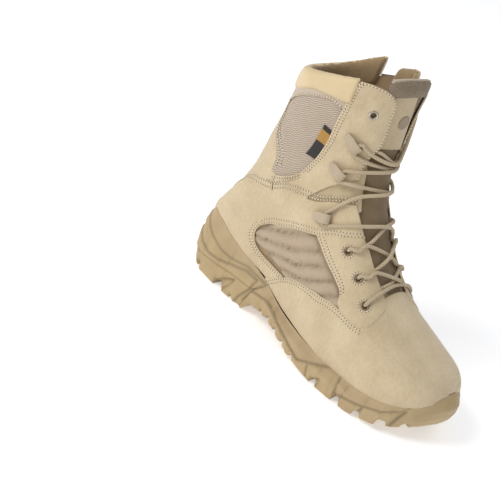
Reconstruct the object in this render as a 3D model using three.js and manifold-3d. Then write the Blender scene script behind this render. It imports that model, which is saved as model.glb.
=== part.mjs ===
// Combat boot for the right foot, with a zip on its inner side, standing empty on its sole.
// Millimetres, +Z up, +X from heel to toe, +Y towards the inner (medial) side.
// Everything is built on one surface, the boot's last: a table of oval sections that run from the
// toe, over the instep, round the heel bend and up to the collar. A place on it is a station
// (0 at the toe, 14 at the collar) and an angle (0 on the front line, 90 on the outer side,
// 180 under the foot or at the back of the shaft, 270 on the inner side).
import * as THREE from 'three';
import { ParametricGeometry } from 'three/addons/geometries/ParametricGeometry.js';
import { mergeVertices } from 'three/addons/utils/BufferGeometryUtils.js';
import Module from 'manifold-3d';

const wasm = await Module();
wasm.setup();

// ---- driving dimensions ----
const LENGTH = 287;
const BALL_WIDTH = 96;
const COLLAR_HEIGHT = 251;
const WALL = 2.2;
const GAP = 0.3;
const TONGUE_GAP = 0.5;
const INSOLE_THICKNESS = 4;
const INSOLE_GAP = 1.8;
const PAD_OUTSIDE = 3.5;
const PAD_INSIDE = 7;
const PAD_SEAM = 0.05;
const LACE_RADIUS = 1.8;
const HOLE_RADIUS = 2.4;
const LACE_HEIGHT = 3.8;
const ZIP_SLOT = 5.5;
const ZIP_FOOT = 8.5;
const ZIP_TAPE = { width: ZIP_SLOT - GAP, outside: -0.2, inside: -1.8, lift: 0.04 };
const ZIP_TEETH = { width: 2.4, outside: 1.8, inside: 0.2, lift: 0.1 };
const COLLAR = 14;

// The tables below are drawn for this size of boot, and are graded to the dimensions above.
const DRAWN = { length: 287, ballWidth: 96, collarHeight: 251 };
const GRADE_X = LENGTH / DRAWN.length;
const GRADE_Y = BALL_WIDTH / DRAWN.ballWidth;
const GRADE_Z = COLLAR_HEIGHT / DRAWN.collarHeight;

// ---- tables ----
// One row for each section of the last: its lowest and highest point, its half widths, the height
// of its widest line as a share, how square it is above and below that line, and its centre.
const LAST = table('baseX baseZ topX topZ lateral medial widest above below centre', [
  [281, 38, 280, 45, 7, 7, 0.50, 2.0, 2.0, 4],
  [278, 32, 272, 55, 25, 22, 0.42, 2.0, 2.4, 4],
  [269, 28, 258, 62, 38, 33, 0.38, 2.1, 2.8, 4],
  [251, 26, 238, 69, 47, 40, 0.34, 2.2, 3.0, 3],
  [228, 25, 216, 77, 51, 45, 0.32, 2.1, 3.0, 2],
  [202, 26, 197, 88, 51, 46, 0.31, 2.0, 3.0, 1],
  [170, 29, 179, 105, 47, 42, 0.32, 2.0, 3.0, 0],
  [132, 34, 163, 126, 43, 38, 0.36, 2.0, 2.8, 0],
  [88, 38, 150, 149, 39, 36, 0.42, 2.1, 2.6, 0],
  [32, 41, 142, 173, 37, 35, 0.48, 2.2, 2.4, 0],
  [9, 68, 138, 194, 36, 35, 0.50, 2.3, 2.2, 0],
  [16, 108, 136, 213, 37, 37, 0.52, 2.3, 2.2, 0],
  [24, 146, 135, 230, 41, 41, 0.50, 2.3, 2.2, 0],
  [30, 182, 135, 243, 44, 44, 0.48, 2.3, 2.2, 0],
  [34, 214, 134, 251, 45, 45, 0.48, 2.3, 2.2, 0],
]);
// One row for each cross section of the whole sole, from the heel's back to the toe.
const SOLE = table('x lateral medial top bottom', [
  [0, 7, 7, 36, 15],
  [3, 20, 18, 50, 8],
  [9, 29, 27, 60, 3],
  [16, 35, 33, 60, 0],
  [40, 41.5, 38, 51, 0],
  [84, 43.2, 37.1, 41, 0],
  [94, 43.6, 37, 39, 11],
  [118, 47, 37, 36, 13],
  [134, 49.5, 38.5, 34.5, 8],
  [156, 54, 42, 33, 3],
  [186, 58, 49, 30.5, 0],
  [228, 56, 52, 27, 0],
  [250, 50, 48, 26, 4],
  [264, 41, 42, 29, 8],
  [275, 29, 34, 37, 12],
  [281, 19, 26, 43, 16],
  [285, 9, 17, 41, 21],
  [287, 2, 9, 33, 26],
]);
// The sole's side wall from its foot to its rim: how far it stands in, and its share of the height.
const SOLE_WALL = table('inset share', [[3.5, 0], [0.8, 0.09], [0, 0.35], [0.5, 0.68], [2.5, 1]]);
const RIM = 1.6;
// How finely the last is built: its sections, and the sides of each.
const LAST_STEPS = 21;
const LAST_SIDES = 26;
// How far a cutter reaches either side of the wall, and the stations where cuts past the collar end.
const CUT_REACH = 8;
const PAST_COLLAR = 14.8;
const PAST_CUTS = 14.9;
// The seam between outsole and midsole, seen from the side.
const SOLE_SEAM = table('x z', [
  [-5, 34], [40, 27], [80, 22], [118, 22], [160, 17], [200, 17], [235, 21], [254, 28], [262, 36], [292, 70],
]);
// Half the throat's opening between the facings, as an angle. Its top flares to the collar.
const THROAT = table('station half', [
  [4.95, 3], [5.1, 12], [5.5, 18], [6.4, 23], [7.3, 29], [8.3, 36], [9.1, 35], [9.8, 30],
  [10.5, 24], [12.3, 22], [13.0, 29], [13.5, 41], [13.85, 55], [14.05, 66], [14.8, 70],
]);
// Half the tongue's width as an angle, and its thickness, padded more towards its top.
const TONGUE = table('station half thickness', [
  [4.9, 20, 2.5], [5.5, 32, 3], [7.3, 42, 3.5], [8.3, 48, 4], [9.1, 48, 4], [10.5, 38, 5],
  [12.3, 36, 7], [14.3, 37, 7], [14.6, 33, 6], [14.8, 26, 4],
]);
// Half the opening underneath, inside the margin that is turned in over the sole.
const UNDERFOOT = table('station half', [
  [1.1, 12], [1.6, 32], [2.2, 40], [8.2, 42], [8.9, 34], [9.2, 14],
]);
// The collar pads: between which angles the wall makes room for them, where the one behind the zip
// and the one in front of it run, and their lower edge.
const PAD_SPACE = { from: 65, to: 295 };
const PAD = { from: 66.5, to: 256.5, steps: 20 };
const FRONT_PAD = { from: 271.5, to: 293.5, steps: 4 };
const PAD_EDGE = table('angle station', [
  [60, 12.3], [74, 12.75], [100, 13.35], [180, 13.25], [258, 13.35], [286, 12.75], [300, 12.3],
]);
// The zip's line down the inner side.
const ZIP_LINE = table('station angle', [[8.4, 242], [8.7, 254], [9.1, 262], [9.6, 265], [14, 264]]);
// Lacing stations from the lowest up: three eyelets, three webbing loops, and the top eyelet.
const LACING = table('station angle', [
  [5.28, 45], [6.15, 43], [7.08, 48], [8.43, 64], [9.65, 55], [10.75, 53], [11.95, 43],
]);
const FIRST_LOOP = 3;
const TOP_EYELET = 6;
// Gaps between the tread's edge lugs: place, slant, width and depth, the same on both sides.
const LUG_GAPS = table('x slant width depth', [
  [27, 40, 5, 7], [48, 15, 5, 6], [68, -15, 5, 6], [93, -35, 9, 8],
  [108, 20, 2.5, 6], [121, 20, 2.5, 6], [134, 20, 2.5, 6], [147, 20, 2.5, 6], [160, 10, 4, 6],
  [178, -20, 5, 7], [200, 20, 5, 7], [220, -20, 5, 7], [238, 20, 5, 8], [254, -20, 5, 10],
]);

// The two sunken fields of the tread, and their studs.
const FIELDS = [
  { from: 176, to: 238, inset: 15, depth: 4, radius: 4.6,
    rows: studs([186, 201, 216, 231], [-31, -16, 0, 16, 30], [-24, -8, 8, 24]) },
  { from: 27, to: 72, inset: 15, depth: 4, radius: 4,
    rows: studs([36, 49, 62], [-8, 7], [-16, 0, 14]) },
];

// ---- materials ----
const suede = finish(0xd2bd96, 0.9, 0);
const smoothLeather = finish(0xd8c49c, 0.55, 0);
const soleRubber = finish(0xbfa878, 0.75, 0);
const midsoleFoam = finish(0xc8b183, 0.7, 0);
const tongueMesh = finish(0x8b7d68, 0.95, 0);
const liningCloth = finish(0x9a8561, 0.9, 0);
const laceCord = finish(0xb5a27c, 0.85, 0);
const zipMetal = finish(0x6b675e, 0.4, 0.9);

function finish(color, roughness, metalness) {
  return new THREE.MeshStandardMaterial({ color, roughness, metalness });
}

// ---- tables and curves ----
function table(names, rows) {
  const columns = names.split(' ');
  return rows.map((row) => Object.fromEntries(columns.map((name, i) => [name, row[i]])));
}

// Straight-line reading of a table: the value in one column where another column is `at`.
function read(rows, key, at, column) {
  const last = rows.length - 1;
  let i = 0;
  while (i < last - 1 && rows[i + 1][key] < at) i += 1;
  const low = rows[i];
  const high = rows[i + 1];
  const share = THREE.MathUtils.clamp((at - low[key]) / (high[key] - low[key]), 0, 1);
  return low[column] + (high[column] - low[column]) * share;
}

// Smooth reading of the last's table: a Catmull-Rom curve through the rows of one column.
function smooth(rows, station, column) {
  const last = rows.length - 1;
  if (station > last) {
    const step = rows[last][column] - rows[last - 1][column];
    return rows[last][column] + step * (station - last);
  }
  const i = Math.min(Math.floor(station), last - 1);
  const f = station - i;
  const b = rows[i][column];
  const c = rows[i + 1][column];
  const a = i > 0 ? rows[i - 1][column] : 2 * b - c;
  const d = i + 2 <= last ? rows[i + 2][column] : 2 * c - b;
  const bend = (2 * a - 5 * b + 4 * c - d) * f * f + (-a + 3 * b - 3 * c + d) * f * f * f;
  return 0.5 * (2 * b + (c - a) * f + bend);
}

// ---- the last ----
function lastPoint(station, angle) {
  const row = (column) => smooth(LAST, station, column);
  const turn = THREE.MathUtils.degToRad(angle);
  const up = Math.cos(turn);
  const power = 2 / (up >= 0 ? row('above') : row('below'));
  const rise = Math.sign(up) * Math.abs(up) ** power;
  const share = row('widest') + (up >= 0 ? 1 - row('widest') : row('widest')) * rise;
  const across = Math.abs(Math.sin(turn)) ** power;
  const side = Math.sin(turn) >= 0 ? -row('lateral') : row('medial');
  return new THREE.Vector3(
    GRADE_X * (row('baseX') + (row('topX') - row('baseX')) * share),
    GRADE_Y * (row('centre') + side * across),
    GRADE_Z * (row('baseZ') + (row('topZ') - row('baseZ')) * share),
  );
}

// The surface's own axes at a place: along towards the collar, around with the angle, out.
function lastAxes(station, angle) {
  const behind = lastPoint(Math.max(station - 0.05, 0), angle);
  const along = lastPoint(station + 0.05, angle).sub(behind).normalize();
  const around = lastPoint(station, angle + 2).sub(lastPoint(station, angle - 2)).normalize();
  const out = new THREE.Vector3().crossVectors(along, around).normalize();
  around.crossVectors(out, along);
  return { along, around, out };
}

// A place at a height above the surface (below it where the height is negative).
function onLast(station, angle, height) {
  return lastPoint(station, angle).addScaledVector(lastAxes(station, angle).out, height);
}

// The angle that a width along the surface takes up at a station.
function widthAsAngle(station, angle, width) {
  return (2 * width) / lastPoint(station, angle + 1).distanceTo(lastPoint(station, angle - 1));
}

// ---- solids ----
// A closed geometry becomes a solid: shared corners merged, slivers dropped, faces turned out.
function solid(geometry) {
  const bare = geometry.clone();
  bare.deleteAttribute('normal');
  bare.deleteAttribute('uv');
  const merged = mergeVertices(bare, 1e-4);
  const points = merged.attributes.position.array;
  const corner = (i) => new THREE.Vector3(points[3 * i], points[3 * i + 1], points[3 * i + 2]);
  const index = merged.index.array;
  const kept = [];
  let volume = 0;
  for (let i = 0; i < index.length; i += 3) {
    const [a, b, c] = [index[i], index[i + 1], index[i + 2]];
    if (a === b || b === c || c === a) continue;
    volume += corner(a).dot(corner(b).cross(corner(c)));
    kept.push(a, b, c);
  }
  if (volume < 0) kept.reverse();
  const mesh = new wasm.Mesh({
    numProp: 3,
    vertProperties: new Float32Array(points),
    triVerts: new Uint32Array(kept),
  });
  return new wasm.Manifold(mesh);
}

// A solid through closed rings of points. At each end the ring folds shut onto its own middle
// line: point s meets point (count - s - fold).
function throughRings(rings, fold) {
  const count = rings[0].length;
  const last = rings.length + 1;
  const surface = (u, v, target) => {
    const s = Math.round(u * count) % count;
    const r = Math.round(v * last);
    const ring = rings[THREE.MathUtils.clamp(r - 1, 0, rings.length - 1)];
    target.copy(ring[s]);
    if (r === 0 || r === last) target.add(ring[(2 * count - s - fold) % count]).multiplyScalar(0.5);
  };
  return solid(new ParametricGeometry(surface, count, last));
}

function steps(from, to, count) {
  return Array.from({ length: count + 1 }, (_, i) => from + ((to - from) * i) / count);
}

// The whole last at a height over its surface, between two stations.
function lastForm(height, from, to) {
  const angles = steps(0, 360, LAST_SIDES).slice(0, -1);
  const ring = (station) => angles.map((angle) => onLast(station, angle, height));
  return throughRings(steps(from, to, LAST_STEPS).map(ring), 0);
}

// A slab that follows the last's surface between two heights and two edges.
function slab({ stops, left, right, outside, inside, across }) {
  const ring = (station) => {
    const angles = steps(left(station), right(station), across);
    const top = angles.map((angle) => onLast(station, angle, outside));
    const under = angles.map((angle) => onLast(station, angle, inside(station))).reverse();
    return [...top, ...under];
  };
  return throughRings(stops.map(ring), 1);
}

function prism(outline, depth) {
  return new THREE.ExtrudeGeometry(new THREE.Shape(outline), { depth, bevelEnabled: false });
}

function tube(points, radius, count) {
  const turns = steps(0, 2 * Math.PI, 7).slice(1);
  const round = new THREE.Shape(flat(turns.map((a) => [radius * Math.cos(a), radius * Math.sin(a)])));
  const extrudePath = new THREE.CatmullRomCurve3(points, false, 'centripetal');
  return solid(new THREE.ExtrudeGeometry(round, { steps: count, extrudePath, bevelEnabled: false }));
}

// Puts a geometry drawn round its own origin at a place, with its X, Y and Z on three directions.
function placed(geometry, x, y, z, origin) {
  return solid(geometry.applyMatrix4(new THREE.Matrix4().makeBasis(x, y, z).setPosition(origin)));
}

// ---- upper ----
// A cut right through the wall between two edges.
function wallCut(stops, left, right) {
  return slab({ stops, left, right, outside: CUT_REACH, inside: () => -CUT_REACH, across: 4 });
}

function throatCutter() {
  const half = (station) => read(THROAT, 'station', station, 'half');
  const stops = steps(THROAT[0].station, PAST_COLLAR, 20);
  return wallCut(stops, (s) => -half(s), half);
}

function underfootCutter() {
  const half = (station) => read(UNDERFOOT, 'station', station, 'half');
  const stops = steps(UNDERFOOT[0].station, UNDERFOOT.at(-1).station, 18);
  return wallCut(stops, (s) => 180 - half(s), (s) => 180 + half(s));
}

function zipCutter() {
  return zipStrip({ width: ZIP_SLOT, outside: CUT_REACH, inside: -CUT_REACH, lift: 0, top: PAST_CUTS });
}

// What the collar pads take the place of: the band above their lower edge.
function padSpace() {
  const under = -CUT_REACH - PAD_OUTSIDE;
  const ring = (angle) => {
    const low = read(PAD_EDGE, 'angle', angle, 'station');
    const top = [onLast(PAST_CUTS, angle, under), onLast(PAST_CUTS, angle, CUT_REACH)];
    return [onLast(low, angle, CUT_REACH), onLast(low, angle, under), ...top];
  };
  return throughRings(steps(PAD_SPACE.from, PAD_SPACE.to, 30).map(ring), 1);
}

// A hole through the wall for a lace.
function laceHole({ station, angle }) {
  const { along, around, out } = lastAxes(station, angle);
  const pin = new THREE.CylinderGeometry(HOLE_RADIUS, HOLE_RADIUS, 2 * CUT_REACH, 8).rotateX(Math.PI / 2);
  return placed(pin, around, along.clone().negate(), out, lastPoint(station, angle));
}

function bothSides(row) {
  return [row, { ...row, angle: 360 - row.angle }];
}

function upper() {
  let shell = lastForm(0, 0.06, COLLAR).subtract(lastForm(-WALL, 0.45, COLLAR + 0.6));
  const cutters = [throatCutter(), underfootCutter(), zipCutter(), padSpace()];
  for (const cutter of cutters) shell = shell.subtract(cutter);
  const holes = [...LACING.slice(0, FIRST_LOOP), LACING[TOP_EYELET]].flatMap(bothSides);
  for (const hole of holes) shell = shell.subtract(laceHole(hole));
  return shell;
}

// ---- inside the upper ----
function tongue() {
  const half = (station) => read(TONGUE, 'station', station, 'half');
  const outside = -WALL - TONGUE_GAP;
  return slab({
    stops: steps(TONGUE[0].station, PAST_COLLAR, 18),
    left: (s) => -half(s),
    right: half,
    outside,
    inside: (s) => outside - read(TONGUE, 'station', s, 'thickness'),
    across: 6,
  });
}

function insole() {
  const half = (station) => read(UNDERFOOT, 'station', station, 'half') + 10;
  const outside = -WALL - INSOLE_GAP;
  return slab({
    stops: steps(0.95, 8.9, 14),
    left: (s) => 180 - half(s),
    right: (s) => 180 + half(s),
    outside,
    inside: () => outside - INSOLE_THICKNESS,
    across: 6,
  });
}

// A padded roll on the collar's rim between two angles, round at its top and edges.
function collarPad({ from, to, steps: count }) {
  const middle = (PAD_OUTSIDE - PAD_INSIDE) / 2;
  const thick = (PAD_OUTSIDE + PAD_INSIDE) / 2;
  const ring = (angle) => {
    const low = read(PAD_EDGE, 'angle', angle, 'station') + PAD_SEAM;
    const high = COLLAR + 0.18;
    return steps(0, 2 * Math.PI, 12).slice(1).map((a) => {
      const round = (value) => Math.sign(value) * Math.abs(value) ** 0.7;
      const station = (low + high) / 2 + ((high - low) / 2) * round(Math.sin(a));
      return onLast(station, angle, middle + thick * round(Math.cos(a)));
    });
  };
  return throughRings(steps(from, to, count).map(ring), 2);
}

// ---- sole ----
// A smooth reading of the sole's table at a place along its length.
function soleValue(x, column) {
  let i = 0;
  while (i < SOLE.length - 2 && SOLE[i + 1].x < x) i += 1;
  return smooth(SOLE, i + (x - SOLE[i].x) / (SOLE[i + 1].x - SOLE[i].x), column);
}

// How far out the last's side stands at a place seen from the side: the nearest place on it.
function lastReach(x, z, side) {
  let best = { distance: Infinity, station: 0, angle: 0 };
  const tryPlace = (station, angle) => {
    const point = lastPoint(station, angle);
    const distance = Math.hypot(point.x - x, point.z - z);
    if (distance < best.distance) best = { distance, station, angle, y: point.y };
  };
  const search = (stations, angles) => stations.forEach((s) => angles.forEach((a) => tryPlace(s, a)));
  const middle = side < 0 ? 135 : 225;
  search(steps(0, 11, 44), steps(middle - 45, middle + 45, 18));
  for (const reach of [0.25, 0.06]) {
    const { station, angle } = best;
    const stations = steps(Math.max(station - reach, 0), station + reach, 8);
    search(stations, steps(angle - 20 * reach, angle + 20 * reach, 8));
  }
  return best.y;
}

function soleRing(x) {
  const bottom = read(SOLE, 'x', x, 'bottom') * GRADE_Z;
  const height = soleValue(x, 'top') * GRADE_Z - bottom;
  const lateral = soleValue(x, 'lateral') * GRADE_Y;
  const medial = soleValue(x, 'medial') * GRADE_Y;
  const edge = Math.min(1, (lateral + medial) / 20);
  const wall = (side) => {
    const half = side < 0 ? lateral : medial;
    const reached = side * lastReach(x * GRADE_X, bottom + height, side) + RIM;
    const rim = Math.min(reached, half - 0.5 * edge);
    const rimInset = THREE.MathUtils.clamp(half - rim, 0.5, 9) * edge;
    return SOLE_WALL.map(({ inset, share }) => {
      const reach = half - (share === 1 ? rimInset : inset * edge);
      return new THREE.Vector3(x * GRADE_X, side * reach, bottom + share * height);
    });
  };
  return [...wall(-1), ...wall(1).reverse()];
}

function soleForm() {
  const places = SOLE.flatMap((row, i) => {
    const next = SOLE[i + 1];
    if (!next) return [row.x];
    const parts = Math.max(1, Math.round((next.x - row.x) / 20));
    return steps(row.x, next.x, parts).slice(0, -1);
  });
  return throughRings(places.map(soleRing), 1);
}

// Everything above or below the seam, as a block that the sole form is cut by.
function seamBlock(offset, end) {
  const ring = ({ x, z }) => {
    const corners = [[-80, z + offset], [-80, end], [80, end], [80, z + offset]];
    return corners.map(([y, height]) => new THREE.Vector3(x * GRADE_X, y, height * GRADE_Z));
  };
  return throughRings(SOLE_SEAM.map(ring), 1);
}

function midsole(form, foot) {
  return form.intersect(seamBlock(GAP / 2, 90)).subtract(foot);
}

// The gap between two edge lugs: a bar across the tread's edge.
function lugGap({ x, slant, width, depth }, side) {
  const edge = soleValue(x, side < 0 ? 'lateral' : 'medial') * GRADE_Y;
  const bottom = read(SOLE, 'x', x, 'bottom') * GRADE_Z;
  const turn = THREE.MathUtils.degToRad(-side * slant);
  const bar = new THREE.BoxGeometry(width, 22, depth).rotateZ(turn);
  return solid(bar.translate(x * GRADE_X, side * (edge - 2), bottom + depth / 2 - 1));
}

// The sunken field inside the edge lugs, with its studs left standing.
function sunkenField(from, to, inset, depth, studRadius, rows) {
  const edgeAt = (x, column) => soleValue(x, column) * GRADE_Y - inset;
  const places = steps(from, to, 8);
  const outer = places.map((x) => new THREE.Vector2(x * GRADE_X, -edgeAt(x, 'lateral')));
  const inner = places.map((x) => new THREE.Vector2(x * GRADE_X, edgeAt(x, 'medial'))).reverse();
  let field = solid(prism([...outer, ...inner], depth + 2).translate(0, 0, -2));
  for (const [x, y] of rows) {
    const stud = new THREE.CylinderGeometry(studRadius * 0.85, studRadius, depth + 4, 7).rotateX(Math.PI / 2);
    field = field.subtract(solid(stud.translate(x * GRADE_X, y * GRADE_Y, 0)));
  }
  return field;
}

// Staggered studs: one row across for each place along the sole, between two choices of offsets.
function studs(places, even, odd) {
  return places.flatMap((x, i) => (i % 2 ? odd : even).map((y) => [x, y]));
}

function outsole(form, foot) {
  let tread = form.intersect(seamBlock(-GAP / 2, -20)).subtract(foot);
  for (const { from, to, inset, depth, radius, rows } of FIELDS) {
    tread = tread.subtract(sunkenField(from, to, inset, depth, radius, rows));
  }
  for (const gap of LUG_GAPS) tread = tread.subtract(lugGap(gap, -1)).subtract(lugGap(gap, 1));
  return tread;
}

// ---- zip ----
// A strip up the inner side, from a little above the slot's foot.
function zipStrip({ width, outside, inside, lift, top = COLLAR + 0.1 }) {
  const middle = (station) => read(ZIP_LINE, 'station', station, 'angle');
  const half = (station) => widthAsAngle(station, middle(station), width);
  const between = steps(ZIP_FOOT + 0.3, PAST_COLLAR, 18).filter((stop) => stop <= top);
  const stops = [ZIP_FOOT + lift, ...between, top];
  return slab({
    stops,
    left: (s) => middle(s) - half(s),
    right: (s) => middle(s) + half(s),
    outside,
    inside: () => inside,
    across: 2,
  });
}

// Level axes at the slider: ahead along the wall, up, and out of it.
const SLIDER_STATION = 13.3;
const SLIDER_ANGLE = 264;
const PULL_DISTANCE = 6.2;
function sliderAxes() {
  const out = lastAxes(SLIDER_STATION, SLIDER_ANGLE).out.setZ(0).normalize();
  const up = new THREE.Vector3(0, 0, 1);
  const ahead = new THREE.Vector3().crossVectors(out, up);
  return { ahead, up, out, origin: lastPoint(SLIDER_STATION, SLIDER_ANGLE) };
}

function flat(corners) {
  return corners.map(([x, y]) => new THREE.Vector2(x, y));
}

function zipSlider() {
  const { ahead, up, out, origin } = sliderAxes();
  const plateBox = new THREE.BoxGeometry(9, 13, 1.6);
  const plate = placed(plateBox, ahead, up, out, origin.clone().addScaledVector(out, 3.5));
  const arch = new THREE.Shape().absarc(0, 0, 3, 0, Math.PI).lineTo(-3, -2.2);
  arch.lineTo(-1.8, -2.2).lineTo(-1.8, 0).absarc(0, 0, 1.8, Math.PI, 0, true);
  arch.lineTo(1.8, -2.2).lineTo(3, -2.2);
  const bridge = new THREE.ExtrudeGeometry(arch, { depth: 2.4, bevelEnabled: false, curveSegments: 8 });
  bridge.translate(0, 0, -1.2);
  const held = origin.clone().addScaledVector(out, PULL_DISTANCE);
  return plate.add(placed(bridge, up.clone().negate(), out, ahead.clone().negate(), held));
}

function zipPull() {
  const { ahead, up, out, origin } = sliderAxes();
  const tab = new THREE.Shape(flat([
    [-4, 0.8], [4, 0.8], [4, -8], [3, -27], [2, -29], [-2, -29], [-3, -27], [-4, -8],
  ]));
  tab.holes.push(new THREE.Path(flat([[-2.3, -5.8], [2.3, -5.8], [2.3, -0.8], [-2.3, -0.8]])));
  const sheet = new THREE.ExtrudeGeometry(tab, { depth: 1.6, bevelEnabled: false }).translate(0, 0, -0.8);
  return placed(sheet, ahead, up, out, origin.clone().addScaledVector(out, PULL_DISTANCE));
}

// ---- lacing ----
function eyelet({ station, angle }) {
  const { along, around, out } = lastAxes(station, angle);
  const profile = flat([[2.5, 0], [4.6, 0], [4.6, 0.7], [3.8, 1.2], [2.5, 1.2], [2.5, 0]]);
  const ring = new THREE.LatheGeometry(profile, 10).rotateX(Math.PI / 2);
  return placed(ring, around, along.clone().negate(), out, onLast(station, angle, 0.8));
}

// A webbing loop: a flattened ring that lies on the facing and opens up and down the shaft.
const LOOP_LENGTH = 14;
const LOOP_HEIGHT = 7.4;
const LOOP_WIDTH = 7;
const WEBBING = 1.1;
const LOOP_MIDDLE = LOOP_HEIGHT / 2 + 0.6;
function laceLoop({ station, angle }) {
  const { along, around, out } = lastAxes(station, angle);
  const ovalAt = (inset, Path) => {
    const r = LOOP_HEIGHT / 2 - inset;
    const reach = (LOOP_LENGTH - LOOP_HEIGHT) / 2;
    const front = new Path().absarc(reach, 0, r, -Math.PI / 2, Math.PI / 2);
    return front.absarc(-reach, 0, r, Math.PI / 2, 1.5 * Math.PI);
  };
  const oval = ovalAt(0, THREE.Shape);
  oval.holes.push(ovalAt(WEBBING, THREE.Path));
  const band = new THREE.ExtrudeGeometry(oval, { depth: LOOP_WIDTH, bevelEnabled: false, curveSegments: 3 });
  band.translate(0, 0, -LOOP_WIDTH / 2);
  return placed(band, around, out, along.clone().negate(), onLast(station, angle, LOOP_MIDDLE));
}

// A lace's turn at one lacing station: round an eyelet, or through a webbing loop.
function laceTurn(row, medial) {
  const isLoop = LACING.indexOf(row) >= FIRST_LOOP;
  const side = medial ? -1 : 1;
  const angle = medial ? 360 - row.angle : row.angle;
  const { along, around, out } = lastAxes(row.station, angle);
  const middle = lastPoint(row.station, angle).addScaledVector(out, isLoop ? LOOP_MIDDLE : 3.4);
  const at = (up, outward) => {
    return middle.clone().addScaledVector(along, up).addScaledVector(around, side * outward);
  };
  return isLoop ? [at(-10, -1), at(0, 0.5), at(7, -1.5)] : [at(-1.5, -4), at(0, 0), at(1.5, -4)];
}

// One zigzag of the lace, from the lowest eyelet on one side up to the last loop.
function laceRun(startsMedial) {
  const points = [];
  const rows = LACING.slice(0, TOP_EYELET);
  rows.forEach((row, i) => {
    const side = startsMedial === (i % 2 === 0) ? -1 : 1;
    points.push(...laceTurn(row, side < 0));
    if (i < rows.length - 1) points.push(...laceCrossing(row, rows[i + 1], side));
  });
  return tube(points, LACE_RADIUS, 34);
}

// The stretch between two turns, over the facing's edge, the tongue and the other facing's edge.
function laceCrossing(from, to, side) {
  return [0.3, 0.5, 0.7].map((share) => {
    const station = THREE.MathUtils.lerp(from.station, to.station, share);
    const angle = side * THREE.MathUtils.lerp(from.angle, -to.angle, share);
    return onLast(station, angle, LACE_HEIGHT + 2 * Math.sin(Math.PI * share));
  });
}

function laces() {
  const low = LACING[0];
  const bar = [laceTurn(low, false)[1], ...laceCrossing(low, low, 1), laceTurn(low, true)[1]];
  return laceRun(false).add(laceRun(true)).add(tube(bar, LACE_RADIUS, 8));
}

// ---- assembly ----
function piece(name, form, material) {
  const { vertProperties, triVerts } = form.getMesh();
  const geometry = new THREE.BufferGeometry();
  geometry.setAttribute('position', new THREE.BufferAttribute(vertProperties, 3));
  geometry.setIndex(new THREE.BufferAttribute(triVerts, 1));
  const mesh = new THREE.Mesh(geometry, material);
  mesh.name = name;
  return mesh;
}

function boot() {
  const group = new THREE.Group();
  const form = soleForm();
  const foot = lastForm(GAP, 0, COLLAR);
  group.add(piece('outsole', outsole(form, foot), soleRubber));
  group.add(piece('midsole', midsole(form, foot), midsoleFoam));
  group.add(piece('upper', upper(), suede));
  group.add(piece('tongue', tongue(), tongueMesh));
  group.add(piece('insole', insole(), liningCloth));
  group.add(piece('collar_pad', collarPad(PAD), smoothLeather));
  group.add(piece('collar_pad_front', collarPad(FRONT_PAD), smoothLeather));
  group.add(piece('zip_tape', zipStrip(ZIP_TAPE), liningCloth));
  group.add(piece('zip_teeth', zipStrip(ZIP_TEETH), zipMetal));
  group.add(piece('zip_slider', zipSlider(), zipMetal));
  group.add(piece('zip_pull', zipPull(), zipMetal));
  bothSides(LACING[TOP_EYELET]).forEach((row, i) => {
    group.add(piece(`eyelet_${i ? 'medial' : 'lateral'}`, eyelet(row), zipMetal));
  });
  LACING.slice(FIRST_LOOP, TOP_EYELET).forEach((loop, n) => {
    bothSides(loop).forEach((row, i) => {
      group.add(piece(`lace_loop_${i ? 'medial' : 'lateral'}_${n + 1}`, laceLoop(row), liningCloth));
    });
  });
  group.add(piece('laces', laces(), laceCord));
  return group;
}

// The boot stands with the middle of its outline over the origin.
function centred(group) {
  const bounds = new THREE.Box3().setFromObject(group);
  const middle = bounds.getCenter(new THREE.Vector3());
  group.position.set(-middle.x, -middle.y, -bounds.min.z);
  return group;
}

export default centred(boot());
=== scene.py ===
# %% [markdown]
# # Combat boot
# A right boot of sand-coloured suede with mesh windows, a padded collar, a zip on its inner side and
# a lugged rubber sole. The real one is made by cutting flat patterns, pulling them over a wooden form
# called a last, and pressing the sole on. This notebook follows the same order.
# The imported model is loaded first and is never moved. Every piece here is drawn in its frame: metres,
# X from heel to toe, Y towards the inner side of the foot, Z up, with the sole on the floor.

import math

import bmesh
import bpy
import numpy as np
from mathutils import Matrix, Vector
from mathutils.kdtree import KDTree


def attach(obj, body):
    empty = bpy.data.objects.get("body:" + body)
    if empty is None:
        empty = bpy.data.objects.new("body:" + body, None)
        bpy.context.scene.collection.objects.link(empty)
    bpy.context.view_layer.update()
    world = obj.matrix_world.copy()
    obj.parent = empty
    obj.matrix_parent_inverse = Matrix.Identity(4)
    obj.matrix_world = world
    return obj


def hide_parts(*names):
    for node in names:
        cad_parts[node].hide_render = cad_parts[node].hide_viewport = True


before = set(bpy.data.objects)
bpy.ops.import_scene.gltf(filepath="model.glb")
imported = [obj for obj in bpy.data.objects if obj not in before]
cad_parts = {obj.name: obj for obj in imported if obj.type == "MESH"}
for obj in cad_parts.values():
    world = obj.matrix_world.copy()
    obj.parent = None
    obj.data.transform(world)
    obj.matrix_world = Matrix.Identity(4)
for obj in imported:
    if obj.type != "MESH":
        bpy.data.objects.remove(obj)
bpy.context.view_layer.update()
MM = 0.001

# %% [markdown]
# ## The last
# Every upper piece lies on one surface, the last. It is a table of oval sections, from the toe over the
# instep, round the heel bend and up to the collar. Each row gives a section's lowest and highest point,
# its half widths, the height of its widest line as a share, how square it is above and below that line,
# and its centre. Near the sole its sides flare out and run down behind the sole's own edge. A place
# on the last is a station (0 at the toe, 14 at the collar) and an angle (0 on the front line, 90 on the
# outer side, 180 under the foot or at the back of the shaft, 270 on the inner side).

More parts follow.
